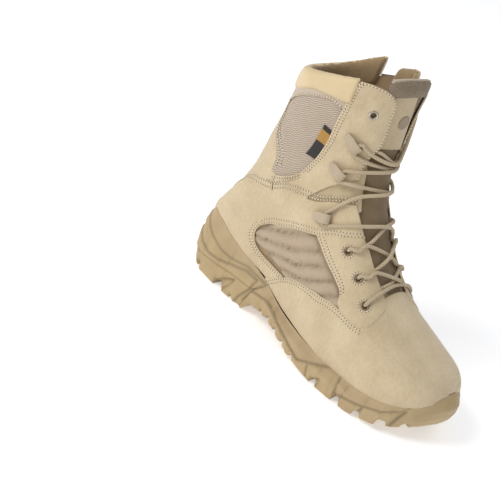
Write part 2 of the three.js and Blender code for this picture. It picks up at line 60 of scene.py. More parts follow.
# %% The last's table
LAST_COLUMNS = "base_x base_z top_x top_z lateral medial widest above below centre".split()
LAST = np.array([
    [281, 38, 280, 45, 7, 7, 0.50, 2.0, 2.0, 4],
    [278, 32, 272, 55, 25, 20, 0.42, 2.0, 2.4, 4],
    [269, 28, 258, 62, 38, 30, 0.38, 2.1, 2.8, 4],
    [251, 26, 238, 69, 47, 36, 0.34, 2.2, 3.0, 3],
    [228, 25, 216, 77, 51, 41, 0.32, 2.1, 3.0, 2],
    [202, 26, 197, 88, 51, 43, 0.31, 2.0, 3.0, 1],
    [170, 29, 179, 105, 47, 40, 0.32, 2.0, 3.0, 0],
    [132, 34, 163, 126, 43, 38, 0.36, 2.0, 2.8, 0],
    [88, 38, 150, 149, 39, 36, 0.42, 2.1, 2.6, 0],
    [28, 41, 142, 173, 37, 35, 0.48, 2.2, 2.6, 0],
    [5, 68, 138, 194, 36, 35, 0.50, 2.3, 2.7, 0],
    [16, 108, 136, 213, 37, 37, 0.52, 2.3, 2.2, 0],
    [24, 146, 135, 230, 41, 41, 0.50, 2.3, 2.2, 0],
    [30, 182, 135, 243, 44, 44, 0.48, 2.3, 2.2, 0],
    [34, 214, 134, 251, 45, 45, 0.48, 2.3, 2.2, 0],
])
TABLE_TO_FRAME = np.array([-143.5, 2.2615, 0.0])  # the frame stands over the middle of the boot's outline
SOLE_COLUMNS = "x lateral medial top bottom".split()
SOLE = np.array([
    [0, 13, 12, 67, 3],
    [3, 27, 25, 67, 3],
    [9, 34, 32, 63, 2],
    [16, 38, 35.5, 59, 0],
    [40, 42, 38.5, 51, 0],
    [84, 43.2, 37.1, 41, 0],
    [94, 43.6, 37, 37.5, 11],
    [118, 47, 37, 28.5, 13],
    [134, 49.5, 38.5, 24.5, 8],
    [156, 54, 42, 22.5, 3],
    [186, 58, 49, 21.5, 0],
    [228, 56, 50, 21.5, 0],
    [250, 50, 44, 24, 3.5],
    [264, 41, 38, 27.5, 6.5],
    [275, 29, 31, 33, 9.5],
    [281, 19, 23, 39, 11],
    [285, 9, 15, 43, 12],
    [287, 2, 8, 44, 12],
])
EDGE_INSET = 3.4  # how far inside the sole's outline the leather meets it
FEATHERLINE = 0.12  # how squarely the side turns under the foot; a smaller number is squarer
SIDES_END = 0.7  # the share below the widest line from which the side runs straight down to the sole
SINK = 5.0  # how far the side runs down behind the rim of the sole
TOE_CAP = 0.3  # stations past the toe's section, over which the last closes
TOE_TIP = np.array([278.5, 4.0, 40.0])


def smooth_column(rows, place):
    """A smooth curve through a column of numbers, read at many places at once."""
    last = len(rows) - 1
    i = np.clip(np.floor(place).astype(int), 0, last - 1)
    f = place - i
    b, c = rows[i], rows[i + 1]
    a = np.where(i > 0, rows[np.maximum(i - 1, 0)], 2 * b - c)
    d = np.where(i + 2 <= last, rows[np.minimum(i + 2, last)], 2 * c - b)
    curve = 0.5 * (2 * b + (c - a) * f + (2 * a - 5 * b + 4 * c - d) * f**2 + (3 * b - a - 3 * c + d) * f**3)
    beyond = rows[last] + (rows[last] - rows[last - 1]) * (place - last)
    return np.where(place > last, beyond, curve)


def sole_number(x, column, smooth=True):
    i = SOLE_COLUMNS.index(column)
    if not smooth:
        return np.interp(x, SOLE[:, 0], SOLE[:, i])
    return smooth_column(SOLE[:, i], np.interp(x, SOLE[:, 0], np.arange(len(SOLE))))


def last_point(station, angle):
    """Points of the last in millimetres, for arrays of stations and angles."""
    station, angle = np.broadcast_arrays(np.asarray(station, float), np.asarray(angle, float))
    at = np.maximum(station, 0)
    row = {name: smooth_column(LAST[:, i], at) for i, name in enumerate(LAST_COLUMNS)}
    turn = np.radians(angle)
    up = np.cos(turn)
    power = 2 / np.where(up >= 0, row["above"], row["below"])
    rise = np.sign(up) * np.abs(up) ** power
    share = row["widest"] + np.where(up >= 0, 1 - row["widest"], row["widest"]) * rise
    x = row["base_x"] + (row["top_x"] - row["base_x"]) * share
    z = row["base_z"] + (row["top_z"] - row["base_z"]) * share
    outer = np.sin(turn) >= 0
    half = np.where(outer, row["lateral"], row["medial"])
    foot_part = np.where(up < 0, np.clip(np.minimum(at / 0.8, (11.0 - at) / 1.2), 0, 1), 0)
    centre = row["centre"]
    edge = np.where(outer, sole_number(x, "lateral") + centre, sole_number(x, "medial") - centre)
    rim = sole_number(x, "top")
    drop = np.maximum(row["base_z"] - (rim - SINK), 0)
    z = z - drop * foot_part * np.clip((-rise - SIDES_END) / (1 - SIDES_END), 0, 1)
    widest_z = row["base_z"] + (row["top_z"] - row["base_z"]) * row["widest"]
    lowness = np.clip((widest_z - z) / np.maximum(widest_z - rim, 4), 0, 1)
    half = half + np.maximum(edge - EDGE_INSET - half, 0) * foot_part * lowness**1.5
    full = power + (np.minimum(power, FEATHERLINE) - power) * foot_part
    y = row["centre"] + np.where(outer, -half, half) * np.abs(np.sin(turn)) ** full
    points = np.stack([x, y, z], -1)
    shut = np.clip(-station / TOE_CAP, 0, 1)[..., None]
    points = points + (TOE_TIP - points) * shut
    return points + TABLE_TO_FRAME


def last_axes(station, angle):
    """The surface's own directions: along towards the collar, around with the angle, and out."""
    station = np.asarray(station, float)
    along = last_point(station + 0.05, angle) - last_point(station - 0.05, angle)
    around = last_point(station, np.asarray(angle) + 2) - last_point(station, np.asarray(angle) - 2)
    out = np.cross(along, around)
    out /= np.maximum(np.linalg.norm(out, axis=-1, keepdims=True), 1e-9)
    along /= np.maximum(np.linalg.norm(along, axis=-1, keepdims=True), 1e-9)
    return along, np.cross(out, along), out


def from_front(angle):
    """How many degrees an angle lies from the front line, the same on both sides."""
    return np.abs((np.asarray(angle) + 180) % 360 - 180)


front_line = last_point(np.arange(15.0), 0.0)
print("the last is", round(float(np.ptp(front_line[:, 2]))), "mm high on its front line")

# %% [markdown]
# ## Creases
# Suede over a foot is never a clean surface. The main creases are listed as soft troughs and
# ridges: each one is a short line of places on the last, with a width and a depth in millimetres. All
# upper pieces ask for the same creases, so a crease runs through leather, lining and stitches together.

# %% Creases
CREASES = [  # places (station, angle), half width, depth: a trough, or a ridge where it is below zero
    ([(8.9, 60), (9.05, 48), (9.0, 36)], 3.5, 1.6),
    ([(9.35, 96), (9.25, 78), (9.4, 62)], 5.0, 1.0),
    ([(10.2, 125), (9.9, 104), (9.75, 92)], 6.0, -1.1),
    ([(10.75, 150), (10.45, 128), (10.3, 108)], 5.0, 1.1),
    ([(11.2, 205), (11.05, 180), (11.1, 152)], 7.0, 1.4),
    ([(12.1, 212), (12.0, 180), (12.05, 148)], 8.0, -0.9),
    ([(10.9, 250), (10.6, 232), (10.5, 205)], 5.5, 1.2),
    ([(11.6, 60), (12.4, 52), (13.2, 56)], 4.0, 0.9),
    ([(10.3, 40), (10.9, 33), (11.4, 30)], 4.0, -0.8),
    ([(12.9, 40), (12.4, 33), (11.9, 28)], 3.5, 0.9),
    ([(8.6, 100), (9.1, 108), (9.7, 112)], 6.0, -0.9),
    ([(4.35, 70), (4.2, 30), (4.25, -10), (4.35, -60)], 5.0, 0.7),
    ([(4.75, 84), (4.55, 72), (4.45, 60)], 4.0, 0.9),
    ([(3.7, 60), (3.6, 20), (3.65, -30)], 8.0, -0.7),
    ([(4.8, 276), (4.6, 290), (4.45, 305)], 4.0, 0.9),
    ([(9.3, 300), (9.1, 286), (9.2, 270)], 5.0, 1.2),
    ([(8.6, 305), (8.9, 315), (8.9, 324)], 4.0, 1.4),
    ([(11.3, 300), (11.9, 305), (12.6, 303)], 4.0, 0.8),
    ([(7.2, 130), (7.9, 136), (8.6, 140)], 8.0, -0.6),
    ([(7.6, 40), (7.2, 36), (6.7, 33)], 3.0, -0.5),
]
CREASE_STOPS = 18  # points along each crease


def crease_heights(points):
    """How far the creases raise or lower the surface at each point."""
    total = np.zeros(len(points))
    for places, half_width, depth in CREASES:
        corners = range(len(places))
        stops = np.linspace(0, len(places) - 1, CREASE_STOPS)
        stations, angles = np.array(places, float).T
        line = last_point(np.interp(stops, corners, stations), np.interp(stops, corners, angles))
        taper = np.sin(np.pi * np.linspace(0.06, 0.94, len(stops)))
        near = np.exp(-np.sum((points[:, None] - line[None]) ** 2, -1) / half_width**2) * taper
        total -= depth * near.max(1)
    return total


def on_last(station, angle, height):
    """Points at a height over the creased last, in millimetres."""
    base = last_point(station, angle)
    flat_base = base.reshape(-1, 3)
    lift = crease_heights(flat_base).reshape(base.shape[:-1]) + height
    return base + last_axes(station, angle)[2] * lift[..., None]


print(len(CREASES), "creases")

# %% [markdown]
# ## Materials
# A material is a small recipe of nodes. `Value` wraps one output socket, so that sums are written as
# plain Python, and `Recipe` makes any other node from its type, its settings and its inputs. Leather and
# rubber read Object coordinates in metres. Cloth reads the UV map, which is the flat pattern in
# millimetres, so that a weave follows the cloth.

# %% Two small classes for node recipes
class Value:
    """One output socket, with the arithmetic that adds its Math nodes."""

    def __init__(self, recipe, socket):
        self.recipe = recipe
        self.socket = socket

    def math(self, operation, first, second=0.0):
        return self.recipe.node("ShaderNodeMath", {"operation": operation}, {0: first, 1: second})

    def __add__(self, other):
        return self.math("ADD", self, other)

    def __sub__(self, other):
        return self.math("SUBTRACT", self, other)

    def __rsub__(self, other):
        return self.math("SUBTRACT", other, self)

    def __mul__(self, other):
        return self.math("MULTIPLY", self, other)

    def __pow__(self, other):
        return self.math("POWER", self, other)

    def wave(self, size):
        """A smooth wave from 0 to 1 that repeats every `size`."""
        return self.math("SINE", self * (2 * math.pi / size)) * 0.5 + 0.5

    def above(self, edge, soft):
        """0 below an edge and 1 above it, over a soft step."""
        settings = {"interpolation_type": "SMOOTHSTEP"}
        values = {0: self, 1: edge - soft, 2: edge + soft, 3: 0.0, 4: 1.0}
        return self.recipe.node("ShaderNodeMapRange", settings, values)

    __radd__ = __add__
    __rmul__ = __mul__


class Recipe:
    """A material being mixed."""

    def __init__(self, name, roughness=0.9, metallic=0.0, sheen=0.0):
        self.material = bpy.data.materials.new(name)
        self.material.use_nodes = True
        self.tree = self.material.node_tree
        self.shader = self.tree.nodes["Principled BSDF"]
        self.shader.inputs["Roughness"].default_value = roughness
        self.shader.inputs["Metallic"].default_value = metallic
        self.shader.inputs["Sheen Weight"].default_value = sheen
        self.shader.inputs["Sheen Roughness"].default_value = 0.6

    def node(self, kind, settings, inputs, output=0):
        made = self.tree.nodes.new(kind)
        for key, value in settings.items():
            setattr(made, key, value)
        for key, value in inputs.items():
            self.join(value, made.inputs[key])
        return Value(self, made.outputs[output])

    def join(self, value, socket):
        if isinstance(value, Value):
            self.tree.links.new(value.socket, socket)
        else:
            socket.default_value = value

    def place(self):
        """Object coordinates, in metres."""
        return self.node("ShaderNodeTexCoord", {}, {}, "Object")

    def cloth(self):
        """The two directions of the flat pattern, in millimetres."""
        uv = self.node("ShaderNodeTexCoord", {}, {}, "UV")
        return [self.node("ShaderNodeSeparateXYZ", {}, {0: uv}, axis) for axis in (0, 1)]

    def stored(self, name):
        """A number stored on the mesh."""
        return self.node("ShaderNodeAttribute", {"attribute_name": name}, {}, "Fac")

    def noise(self, size, detail=3.0, at=None, stretch=None):
        """Cloudy values round 0.5 whose clouds are about `size` millimetres."""
        at = at or self.place()
        if stretch:
            at = self.node("ShaderNodeMapping", {}, {"Vector": at, "Scale": stretch})
        values = {"Vector": at, "Scale": 1 / (size * MM), "Detail": detail}
        return self.node("ShaderNodeTexNoise", {}, values, "Fac")

    def mix(self, factor, low, high):
        """A colour between two colours."""
        colours = [c if isinstance(c, Value) else (*c, 1.0) for c in (low, high)]
        settings = {"data_type": "RGBA"}
        return self.node("ShaderNodeMix", settings, {0: factor, 6: colours[0], 7: colours[1]}, 2)

    def bump(self, height, depth, strength=1.0, under=None):
        """Raises the surface by a height from 0 to 1, `depth` millimetres deep."""
        values = {"Height": height, "Distance": depth * MM, "Strength": strength}
        if under:
            values["Normal"] = under
        return self.node("ShaderNodeBump", {}, values)

    def finish(self, colour, normal=None, roughness=None):
        self.join(colour, self.shader.inputs["Base Color"])
        if normal:
            self.join(normal, self.shader.inputs["Normal"])
        if roughness:
            self.join(roughness, self.shader.inputs["Roughness"])
        return self.material


print("recipes can be mixed")

# %% [markdown]
# ### Leather
# Suede is the raised inner side of a hide. Its nap catches light in soft patches where a hand has
# brushed it, with a fine fuzzy grain over that. The collar is smooth leather: evenly coloured, a little
# shiny, and with a fine pebble.

# %% Suede and smooth leather
def suede(name, dark, light):
    recipe = Recipe(name, 0.92, sheen=0.25)
    patches = recipe.noise(28, 4).above(0.5, 0.22)
    nap = recipe.noise(2.2, 5, stretch=(1.0, 1.0, 0.45)).above(0.5, 0.3)
    grain = recipe.noise(0.55, 2)
    colour = recipe.mix(patches * 0.45 + nap * 0.35 + grain * 0.25, dark, light)
    fuzz = recipe.bump(grain, 0.16)
    return recipe.finish(colour, recipe.bump(recipe.noise(3.5, 4), 0.35, 0.7, fuzz))


def smooth_leather(name, dark, light):
    recipe = Recipe(name, 0.5, sheen=0.1)
    patches = recipe.noise(35, 3).above(0.5, 0.3)
    values = {"Vector": recipe.place(), "Scale": 1 / (0.9 * MM)}
    pebble = recipe.node("ShaderNodeTexVoronoi", {"feature": "SMOOTH_F1"}, values, "Distance")
    colour = recipe.mix(patches * 0.6 + pebble * 0.4, dark, light)
    return recipe.finish(colour, recipe.bump(pebble, 0.1, 0.6), 0.62 - patches * 0.12)


SUEDE = suede("suede", (0.52, 0.40, 0.235), (0.71, 0.575, 0.375))
# A darker copy of the same suede: painted shade for the gusset folded in under the strap and for the tongue
# patch.
SUEDE_SHADED = suede("suede_painted_shade", (0.43, 0.33, 0.19), (0.60, 0.48, 0.30))
SUEDE_PRINTED = suede("suede_printed", (0.25, 0.185, 0.115), (0.37, 0.28, 0.18))
COLLAR_LEATHER = smooth_leather("collar_leather", (0.62, 0.47, 0.255), (0.77, 0.61, 0.37))

# %% [markdown]
# ### Cloth
# The shaft window is a mesh of fine wavy rows, the quarter is a ribbed nylon, the tongue is a
# dark basket weave and its top band a coarse diamond net. Each is a sum of waves along the two
# directions of the cloth, used for both colour and bump. The ribbed nylon's colour also carries painted
# shade in its pleat valleys.

# %% Woven cloths
ROW_FALL = (0.67, 0.16)  # how fast the mesh rows fall from the front to the back, and round the side


def wavy_mesh(name, thread, gap):
    """Its rows are slices through the shaft, and each one waves up and down a little."""
    recipe = Recipe(name, 0.85, sheen=0.15)
    across, _ = recipe.cloth()
    x, y, z = (recipe.node("ShaderNodeSeparateXYZ", {}, {0: recipe.place()}, axis) for axis in range(3))
    along = (z - x * ROW_FALL[0] - y.math("ABSOLUTE", y) * ROW_FALL[1]) * (1 / MM)
    rows = (along + across.wave(3.4) * 0.7).wave(2.0)
    mask = rows.above(0.45, 0.3)
    dust = recipe.noise(14, 3)
    colour = recipe.mix(mask * 0.75 + dust * 0.25, gap, thread)
    return recipe.finish(colour, recipe.bump(mask, 0.5, 0.8))


def ribbed_nylon(name, thread, gap):
    recipe = Recipe(name, 0.7, sheen=0.2)
    across, along = recipe.cloth()
    waver = recipe.noise(9, 2) * 1.4
    rib = (along + waver * 0.5 - across * 0.034).wave(1.25)
    twill = (across * 1.0 + along * 0.6).wave(0.9)
    # Painted shade: the number stored at each corner is 0 in a pleat's valley and 1 on its ridge, so the
    # valleys are painted darker and the ridges lighter.
    pleat_shade = recipe.stored("pleat_shade") - 0.6
    colour = recipe.mix(pleat_shade * 1.1 + rib * 0.4 + twill * 0.15 + recipe.noise(8, 3) * 0.3 + 0.1, gap, thread)
    return recipe.finish(colour, recipe.bump(rib * 0.8 + twill * 0.2, 0.45, 0.8))


def basket_weave(name, thread, gap, size, depth=0.35):
    recipe = Recipe(name, 0.88, sheen=0.1)
    across, along = recipe.cloth()
    weave = (across + along).wave(size) * (across - along).wave(size)
    colour = recipe.mix(weave * 0.85 + recipe.noise(10, 3) * 0.3, gap, thread)
    return recipe.finish(colour, recipe.bump(weave, depth))


def webbing(name, thread, gap, size=1.1):
    recipe = Recipe(name, 0.8, sheen=0.15)
    across, along = recipe.cloth()
    rib = along.wave(size) * 0.65 + across.wave(size * 0.55) * 0.35
    colour = recipe.mix(rib * 0.8 + recipe.noise(6, 3) * 0.3, gap, thread)
    return recipe.finish(colour, recipe.bump(rib, 0.3))


def fleece(name, dark, light):
    recipe = Recipe(name, 0.95, sheen=0.3)
    fluff = recipe.noise(1.1, 5)
    colour = recipe.mix(fluff * 0.6 + recipe.noise(16, 3) * 0.5, dark, light)
    return recipe.finish(colour, recipe.bump(fluff, 0.5))


SHAFT_MESH = wavy_mesh("shaft_mesh", (0.64, 0.53, 0.41), (0.33, 0.25, 0.18))
QUARTER_NYLON = ribbed_nylon("quarter_nylon", (0.56, 0.43, 0.29), (0.27, 0.19, 0.115))
TONGUE_CLOTH = basket_weave("tongue_cloth", (0.44, 0.32, 0.175), (0.15, 0.10, 0.05), 1.5)
TONGUE_NET = basket_weave("tongue_net", (0.56, 0.44, 0.30), (0.15, 0.105, 0.065), 3.1, 0.7)
BAND_CLOTH = webbing("band_cloth", (0.66, 0.54, 0.42), (0.47, 0.37, 0.27), 1.4)
LOOP_CLOTH = webbing("loop_cloth", (0.64, 0.52, 0.36), (0.40, 0.31, 0.20))
ZIP_CLOTH = webbing("zip_cloth", (0.40, 0.32, 0.21), (0.24, 0.18, 0.11), 0.9)
LINING = fleece("lining", (0.24, 0.15, 0.065), (0.46, 0.32, 0.165))

# %% [markdown]
# ### Thread, lace, rubber and metal
# Stitching thread is pale and a little glossy. A lace is a round braid, so its pattern runs in two
# slanted directions round the cord. The outsole is moulded rubber with a faint mottle and with painted
# shade in its grooves, and the zip and eyelets are dark plated metal.

# %% Thread, lace, rubber and metal
def thread(name, colour, shade):
    recipe = Recipe(name, 0.6)
    return recipe.finish(recipe.mix(recipe.noise(0.8, 2), shade, colour))


def braid(name, light, dark):
    recipe = Recipe(name, 0.75, sheen=0.15)
    round_cord, along = recipe.cloth()
    plait = (along + round_cord).wave(2.4) * 0.5 + (along - round_cord).wave(2.4) * 0.5
    colour = recipe.mix(plait.above(0.5, 0.3) * 0.8 + recipe.noise(12, 2) * 0.25, dark, light)
    return recipe.finish(colour, recipe.bump(plait, 0.35))


def rubber(name, dark, light, roughness):
    recipe = Recipe(name, roughness)
    mottle = recipe.noise(18, 5).above(0.5, 0.3)
    speck = recipe.noise(0.7, 3)
    plain = recipe.mix(mottle * 0.6 + speck * 0.35, dark, light)
    # Painted shade: where the stored number is high, in grooves and at the foot of blocks, the rubber is
    # painted towards a darker copy of its own colour.
    colour = recipe.mix(recipe.stored("groove_shade") * 0.75, plain, tuple(part * 0.42 for part in dark))
    return recipe.finish(colour, recipe.bump(speck, 0.08, 0.7), roughness + speck * 0.15)


def metal(name, dark, light, roughness=0.35):
    recipe = Recipe(name, roughness, metallic=0.9)
    wear = recipe.noise(2.5, 4).above(0.52, 0.12)
    return recipe.finish(recipe.mix(wear, dark, light), recipe.bump(wear, 0.03), roughness + wear * 0.15)


THREAD = thread("sewing_thread", (0.88, 0.80, 0.64), (0.70, 0.60, 0.44))
LACE_BRAID = braid("lace_braid", (0.68, 0.55, 0.37), (0.38, 0.29, 0.175))
SOLE_RUBBER = rubber("sole_rubber", (0.41, 0.295, 0.145), (0.53, 0.395, 0.215), 0.5)
MIDSOLE_FOAM = rubber("midsole_foam", (0.42, 0.305, 0.16), (0.53, 0.395, 0.225), 0.55)
DARK_METAL = metal("dark_metal", (0.07, 0.06, 0.05), (0.22, 0.20, 0.17))
BRIGHT_METAL = metal("bright_metal", (0.42, 0.38, 0.32), (0.62, 0.58, 0.50), 0.28)
print(len(bpy.data.materials), "materials")

# %% [markdown]
# ## Cutting and lasting a pattern
# A pattern is cut flat and then pulled over the last, as in a workshop. The flat sheet is measured in
# millimetres: sideways it is the angle, laid out at the width that a degree has on most of the boot, and
# upwards it is the distance along the outer side. The outline is filled, its rim is inset twice so that
# the cut edge rolls over softly, the sheet is sliced into small squares so that it can bend, and it is
# given its thickness. Only then does each corner move to its place over the last.

# %% The flat sheet
DEGREE = 0.75
SIDE_STATIONS = np.arange(-TOE_CAP, 15.5, 0.05)
side_line = last_point(SIDE_STATIONS, 90.0)
SIDE_LENGTHS = np.concatenate([[0], np.cumsum(np.linalg.norm(np.diff(side_line, axis=0), axis=1))])
# How far each inset reaches, and the drop there as a share of thickness.
RIM_ROLL = [(0.35, 0.14), (0.8, 0.0)]
EDGE_DROP = 0.5
SQUARE = 2.5


def to_flat(station, angle):
    return -angle * DEGREE, float(np.interp(station, SIDE_STATIONS, SIDE_LENGTHS))


def from_flat(x, y):
    return np.interp(y, SIDE_LENGTHS, SIDE_STATIONS), -x / DEGREE


def flowing(places, per_span=5):
    """A smooth line through places (station, angle), without its last place."""
    rows = np.array(places, float)
    at = np.arange(0, len(rows) - 1, 1 / per_span)
    return list(zip(smooth_column(rows[:, 0], at), smooth_column(rows[:, 1], at)))


def outline(*lines):
    """A closed outline from lines that follow each other, with a corner wherever two of them meet."""
    joined = [place for line in lines for place in flowing(line)]
    kept = []
    for place in joined:
        if not kept or math.dist(to_flat(*place), to_flat(*kept[-1])) > 0.5:
            kept.append(place)
    return kept


def to_other_side(line):
    return [(station, 360 - angle) for station, angle in line]


def cut_sheet(loops, thickness):
    """A flat closed sheet with the outline of the first loop, and the other loops as holes."""
    bm = bmesh.new()
    edges = []
    for loop in loops:
        corners = [bm.verts.new((*to_flat(*place), -EDGE_DROP * thickness)) for place in loop]
        edges += [bm.edges.new(pair) for pair in zip(corners, corners[1:] + corners[:1])]
    bmesh.ops.triangle_fill(bm, use_beauty=True, edges=edges, normal=(0, 0, 1))
    for reach, drop in RIM_ROLL:
        sheet = bm.faces[:] if reach == RIM_ROLL[0][0] else inner
        rim = bmesh.ops.inset_region(
            bm, faces=sheet, thickness=reach, use_boundary=True, use_even_offset=True)["faces"]
        inner = [face for face in sheet if face not in set(rim)]
        for vert in {vert for face in inner for vert in face.verts}:
            vert.co.z = -drop * thickness
    low = [min(v.co[i] for v in bm.verts) for i in (0, 1)]
    high = [max(v.co[i] for v in bm.verts) for i in (0, 1)]
    for i, direction in enumerate([(1, 0, 0), (0, 1, 0)]):
        for slice_at in np.arange(math.ceil(low[i] / SQUARE) * SQUARE, high[i], SQUARE):
            point = [slice_at if j == i else 0 for j in range(3)]
            everything = bm.verts[:] + bm.edges[:] + bm.faces[:]
            bmesh.ops.bisect_plane(bm, geom=everything, dist=1e-4, plane_co=point, plane_no=direction)
    bmesh.ops.dissolve_degenerate(bm, dist=0.02, edges=bm.edges[:])
    for face in bm.faces:
        if face.normal.z < 0:
            face.normal_flip()
    bm.normal_update()
    bmesh.ops.solidify(bm, geom=bm.faces[:], thickness=thickness)
    return bm


def put_in_scene(name, data):
    made = bpy.data.objects.new(name, data)
    bpy.context.scene.collection.objects.link(made)
    return made


def add_piece(name, bm, material, smooth=True):
    """Turns a bmesh in frame millimetres into a piece that rides on the boot."""
    bmesh.ops.scale(bm, vec=(MM, MM, MM), verts=bm.verts[:])
    mesh = bpy.data.meshes.new(name)
    bm.to_mesh(mesh)
    bm.free()
    mesh.polygons.foreach_set("use_smooth", [smooth] * len(mesh.polygons))
    for item in material if isinstance(material, list) else [material]:
        mesh.materials.append(item)
    made = put_in_scene(name, mesh)
    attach(made, "boot")
    print(f"{name}: {len(mesh.polygons)} faces")
    return made


def pull_over_last(bm, height):
    """Writes the flat place of each corner as its UV, then moves the sheet onto the last."""
    uv = bm.loops.layers.uv.new("UVMap")
    for face in bm.faces:
        for loop in face.loops:
            loop[uv].uv = loop.vert.co.xy
    flat = np.array([vert.co for vert in bm.verts])
    station, angle = from_flat(flat[:, 0], flat[:, 1])
    top = height(station, angle) if callable(height) else height
    for vert, point in zip(bm.verts, on_last(station, angle, flat[:, 2] + top)):
        vert.co = point
    bmesh.ops.remove_doubles(bm, verts=bm.verts[:], dist=0.01)


def panel(name, loops, height, thickness, material):
    bm = cut_sheet(loops, thickness)
    pull_over_last(bm, height)
    return add_piece(name, bm, material)


def ramp(value, start, end, low, high):
    """A number that goes from low to high as the value goes from start to end."""
    share = np.clip((value - start) / (end - start), 0, 1)
    return low + (high - low) * share * share * (3 - 2 * share)


print("the outer side is", round(float(SIDE_LENGTHS[-1])), "mm long")

# %% [markdown]
# ## Outlines of the upper
# The outlines are drawn once for the outer side of the foot. The inner side has the same panels seen in a
# mirror, apart from the places where the zip runs down through them.

# %% Lines that the panels share
VAMP_EDGE = [(7.95, 152), (7.85, 138), (7.68, 122), (7.5, 108), (7.2, 98), (6.9, 91), (6.57, 85),
             (6.25, 78),
             (5.76, 71), (5.34, 67), (4.83, 61)]
ANKLE_SEAM = [(8.28, 37), (8.67, 57), (8.88, 69), (9.27, 81), (9.57, 90), (9.78, 98), (10.05, 107),
              (10.38, 125),
              (10.5, 156), (10.5, 180)]
WINDOW_BACK = [(7.71, 121), (8.04, 125), (8.31, 125), (8.52, 122), (8.7, 116), (8.8, 111), (8.84, 106)]
WINDOW_TOP = [(8.84, 106), (8.79, 99), (8.64, 94), (8.49, 89), (8.28, 82), (8.04, 74)]
WINDOW_FRONT = [(8.04, 74), (7.44, 71), (6.75, 67), (6.36, 65.5), (6.18, 67)]
STRAP_FOOT = [(8.04, 74), (7.77, 61), (7.5, 50), (7.12, 29)]
FACING_EDGE = [(9.08, 36), (9.78, 31), (10.33, 22), (11.53, 22), (12.35, 22), (13.28, 35), (13.83, 52),
               (14.02, 65)]
FACING_BACK = [(14.02, 65), (13.58, 69), (12.70, 71), (11.75, 74), (10.95, 76), (10.38, 77), (10.0, 82)]
MESH_FOOT = [(10.0, 82), (9.99, 88), (10.17, 95), (10.44, 102)]
MESH_BACK = [(10.44, 102), (11.0, 111), (11.55, 122), (12.15, 136), (12.93, 147)]
MESH_TOP = [(12.93, 147), (13.12, 125), (13.14, 104), (12.98, 86), (12.43, 72)]
PAD_LINE = [(13.42, 150), (13.5, 125), (13.5, 100), (13.1, 80), (12.72, 70)]
SOLE_LINE = [(9.3, 180), (9.1, 168), (8.6, 157), (8.0, 150)]


def backwards(line):
    return line[::-1]


print("the ankle seam has", len(ANKLE_SEAM), "places")

# %% [markdown]
# ## The vamp
# The vamp is the large smooth piece over the toes. It is cut as one crescent that runs from the inner
# side round the toe to the outer side, and it closes over the very tip of the last.

# %% Vamp
def vamp_height(station, angle):
    off_centre = from_front(angle)
    return ramp(off_centre, 52, 60, 0.0, 1.0)


def vamp():
    inner_edge = [(station, -angle) for station, angle in VAMP_EDGE]
    loop = outline(
        VAMP_EDGE, [(4.83, 61), (5.05, 42)], [(5.05, 42), (5.05, 0), (5.05, -42)],
        [(5.05, -42), (4.83, -61)],
        backwards(inner_edge), [(7.95, -152), (4, -152), (1, -152), (-TOE_CAP, -152)],
        [(-TOE_CAP, -152), (-TOE_CAP, 152)], [(-TOE_CAP, 152), (1, 152), (4, 152), (7.95, 152)])
    return panel("vamp", [loop], vamp_height, 1.4, SUEDE)


vamp()

# %% [markdown]
# ## Counter and strap
# One long piece wraps round the heel and reaches forward on each side as a strap to the lowest webbing
# loop. It frames the ribbed window. On the inner side it has a slot for the foot of the zip.

# %% Counter and strap
ZIP_LINE = [(8.4, 242), (8.7, 254), (9.1, 262), (9.6, 265), (14.0, 264)]
INNER_WINDOW_TOP = [(8.35, 262), (8.45, 268), (8.04, 286)]


def counter_height(station, angle):
    off_centre = from_front(angle)
    behind_vamp = ramp(off_centre, 125, 150, 0, 0.6) * ramp(station, 7.9, 8.6, 0, 1)
    return ramp(off_centre, 70, 105, 1.0, 0.2) + behind_vamp


def counter():
    inner_seam = to_other_side(ANKLE_SEAM)
    slot = [(9.42, 274), (9.1, 270), (8.72, 263), (8.42, 252), (8.3, 243), (8.38, 236), (8.75, 245),
            (9.25, 254), (9.92, 257)]
    loop = outline(
        ANKLE_SEAM, [(10.5, 180), (10.5, 204), (10.28, 241), (9.92, 257)], backwards(slot),
        [(9.42, 274), (9.05, 284), (8.65, 301), (8.28, 323)], [(8.28, 323), (7.12, 331)],
        backwards(to_other_side(STRAP_FOOT)), backwards(INNER_WINDOW_TOP), [(8.35, 262), (7.8, 252),
        (7.15, 254)],
        [(7.15, 254), (7.15, 240), (7.3, 225), (7.5, 210)], [(7.5, 210), (8.6, 203), (9.1, 192),
        (9.3, 180)],
        SOLE_LINE, [(8.0, 150), (7.45, 150)], [(7.45, 150), (7.4, 136), (7.35, 123)],
        [(7.35, 123), (7.71, 121)],
        WINDOW_BACK, WINDOW_TOP, STRAP_FOOT, [(7.12, 29), (8.28, 37)])
    return panel("counter_and_strap", [loop], counter_height, 1.4, SUEDE)


counter()

# %% [markdown]
# ## Facings
# The facings carry the lacing. The lower one ends in a rounded tab over the vamp and has three eyelets.
# The upper one runs up beside the throat to the collar and has a top eyelet. Their holes are cut in the
# flat sheet, so that the rim rolls round each hole as well.

# %% Facings
EYELETS = [(5.28, 45), (6.15, 43), (7.08, 48)]
TOP_EYELET = (11.93, 43)
LOOPS = [(8.37, 65), (9.62, 54.5), (10.70, 51.5)]
HOLE_RADIUS = 2.8


def hole(place, radius=HOLE_RADIUS, stretch=1.0):
    """A round hole as a loop of places, measured on the last itself."""
    station, angle = place
    along = 0.1 / np.linalg.norm(last_point(station + 0.1, angle) - last_point(station, angle))
    around = 1 / np.linalg.norm(last_point(station, angle + 1) - last_point(station, angle))
    tall, wide = radius * along, stretch * radius * around
    turns = np.radians(np.arange(0, 360, 20))
    return [(station + tall * math.sin(turn), angle + wide * math.cos(turn)) for turn in turns]


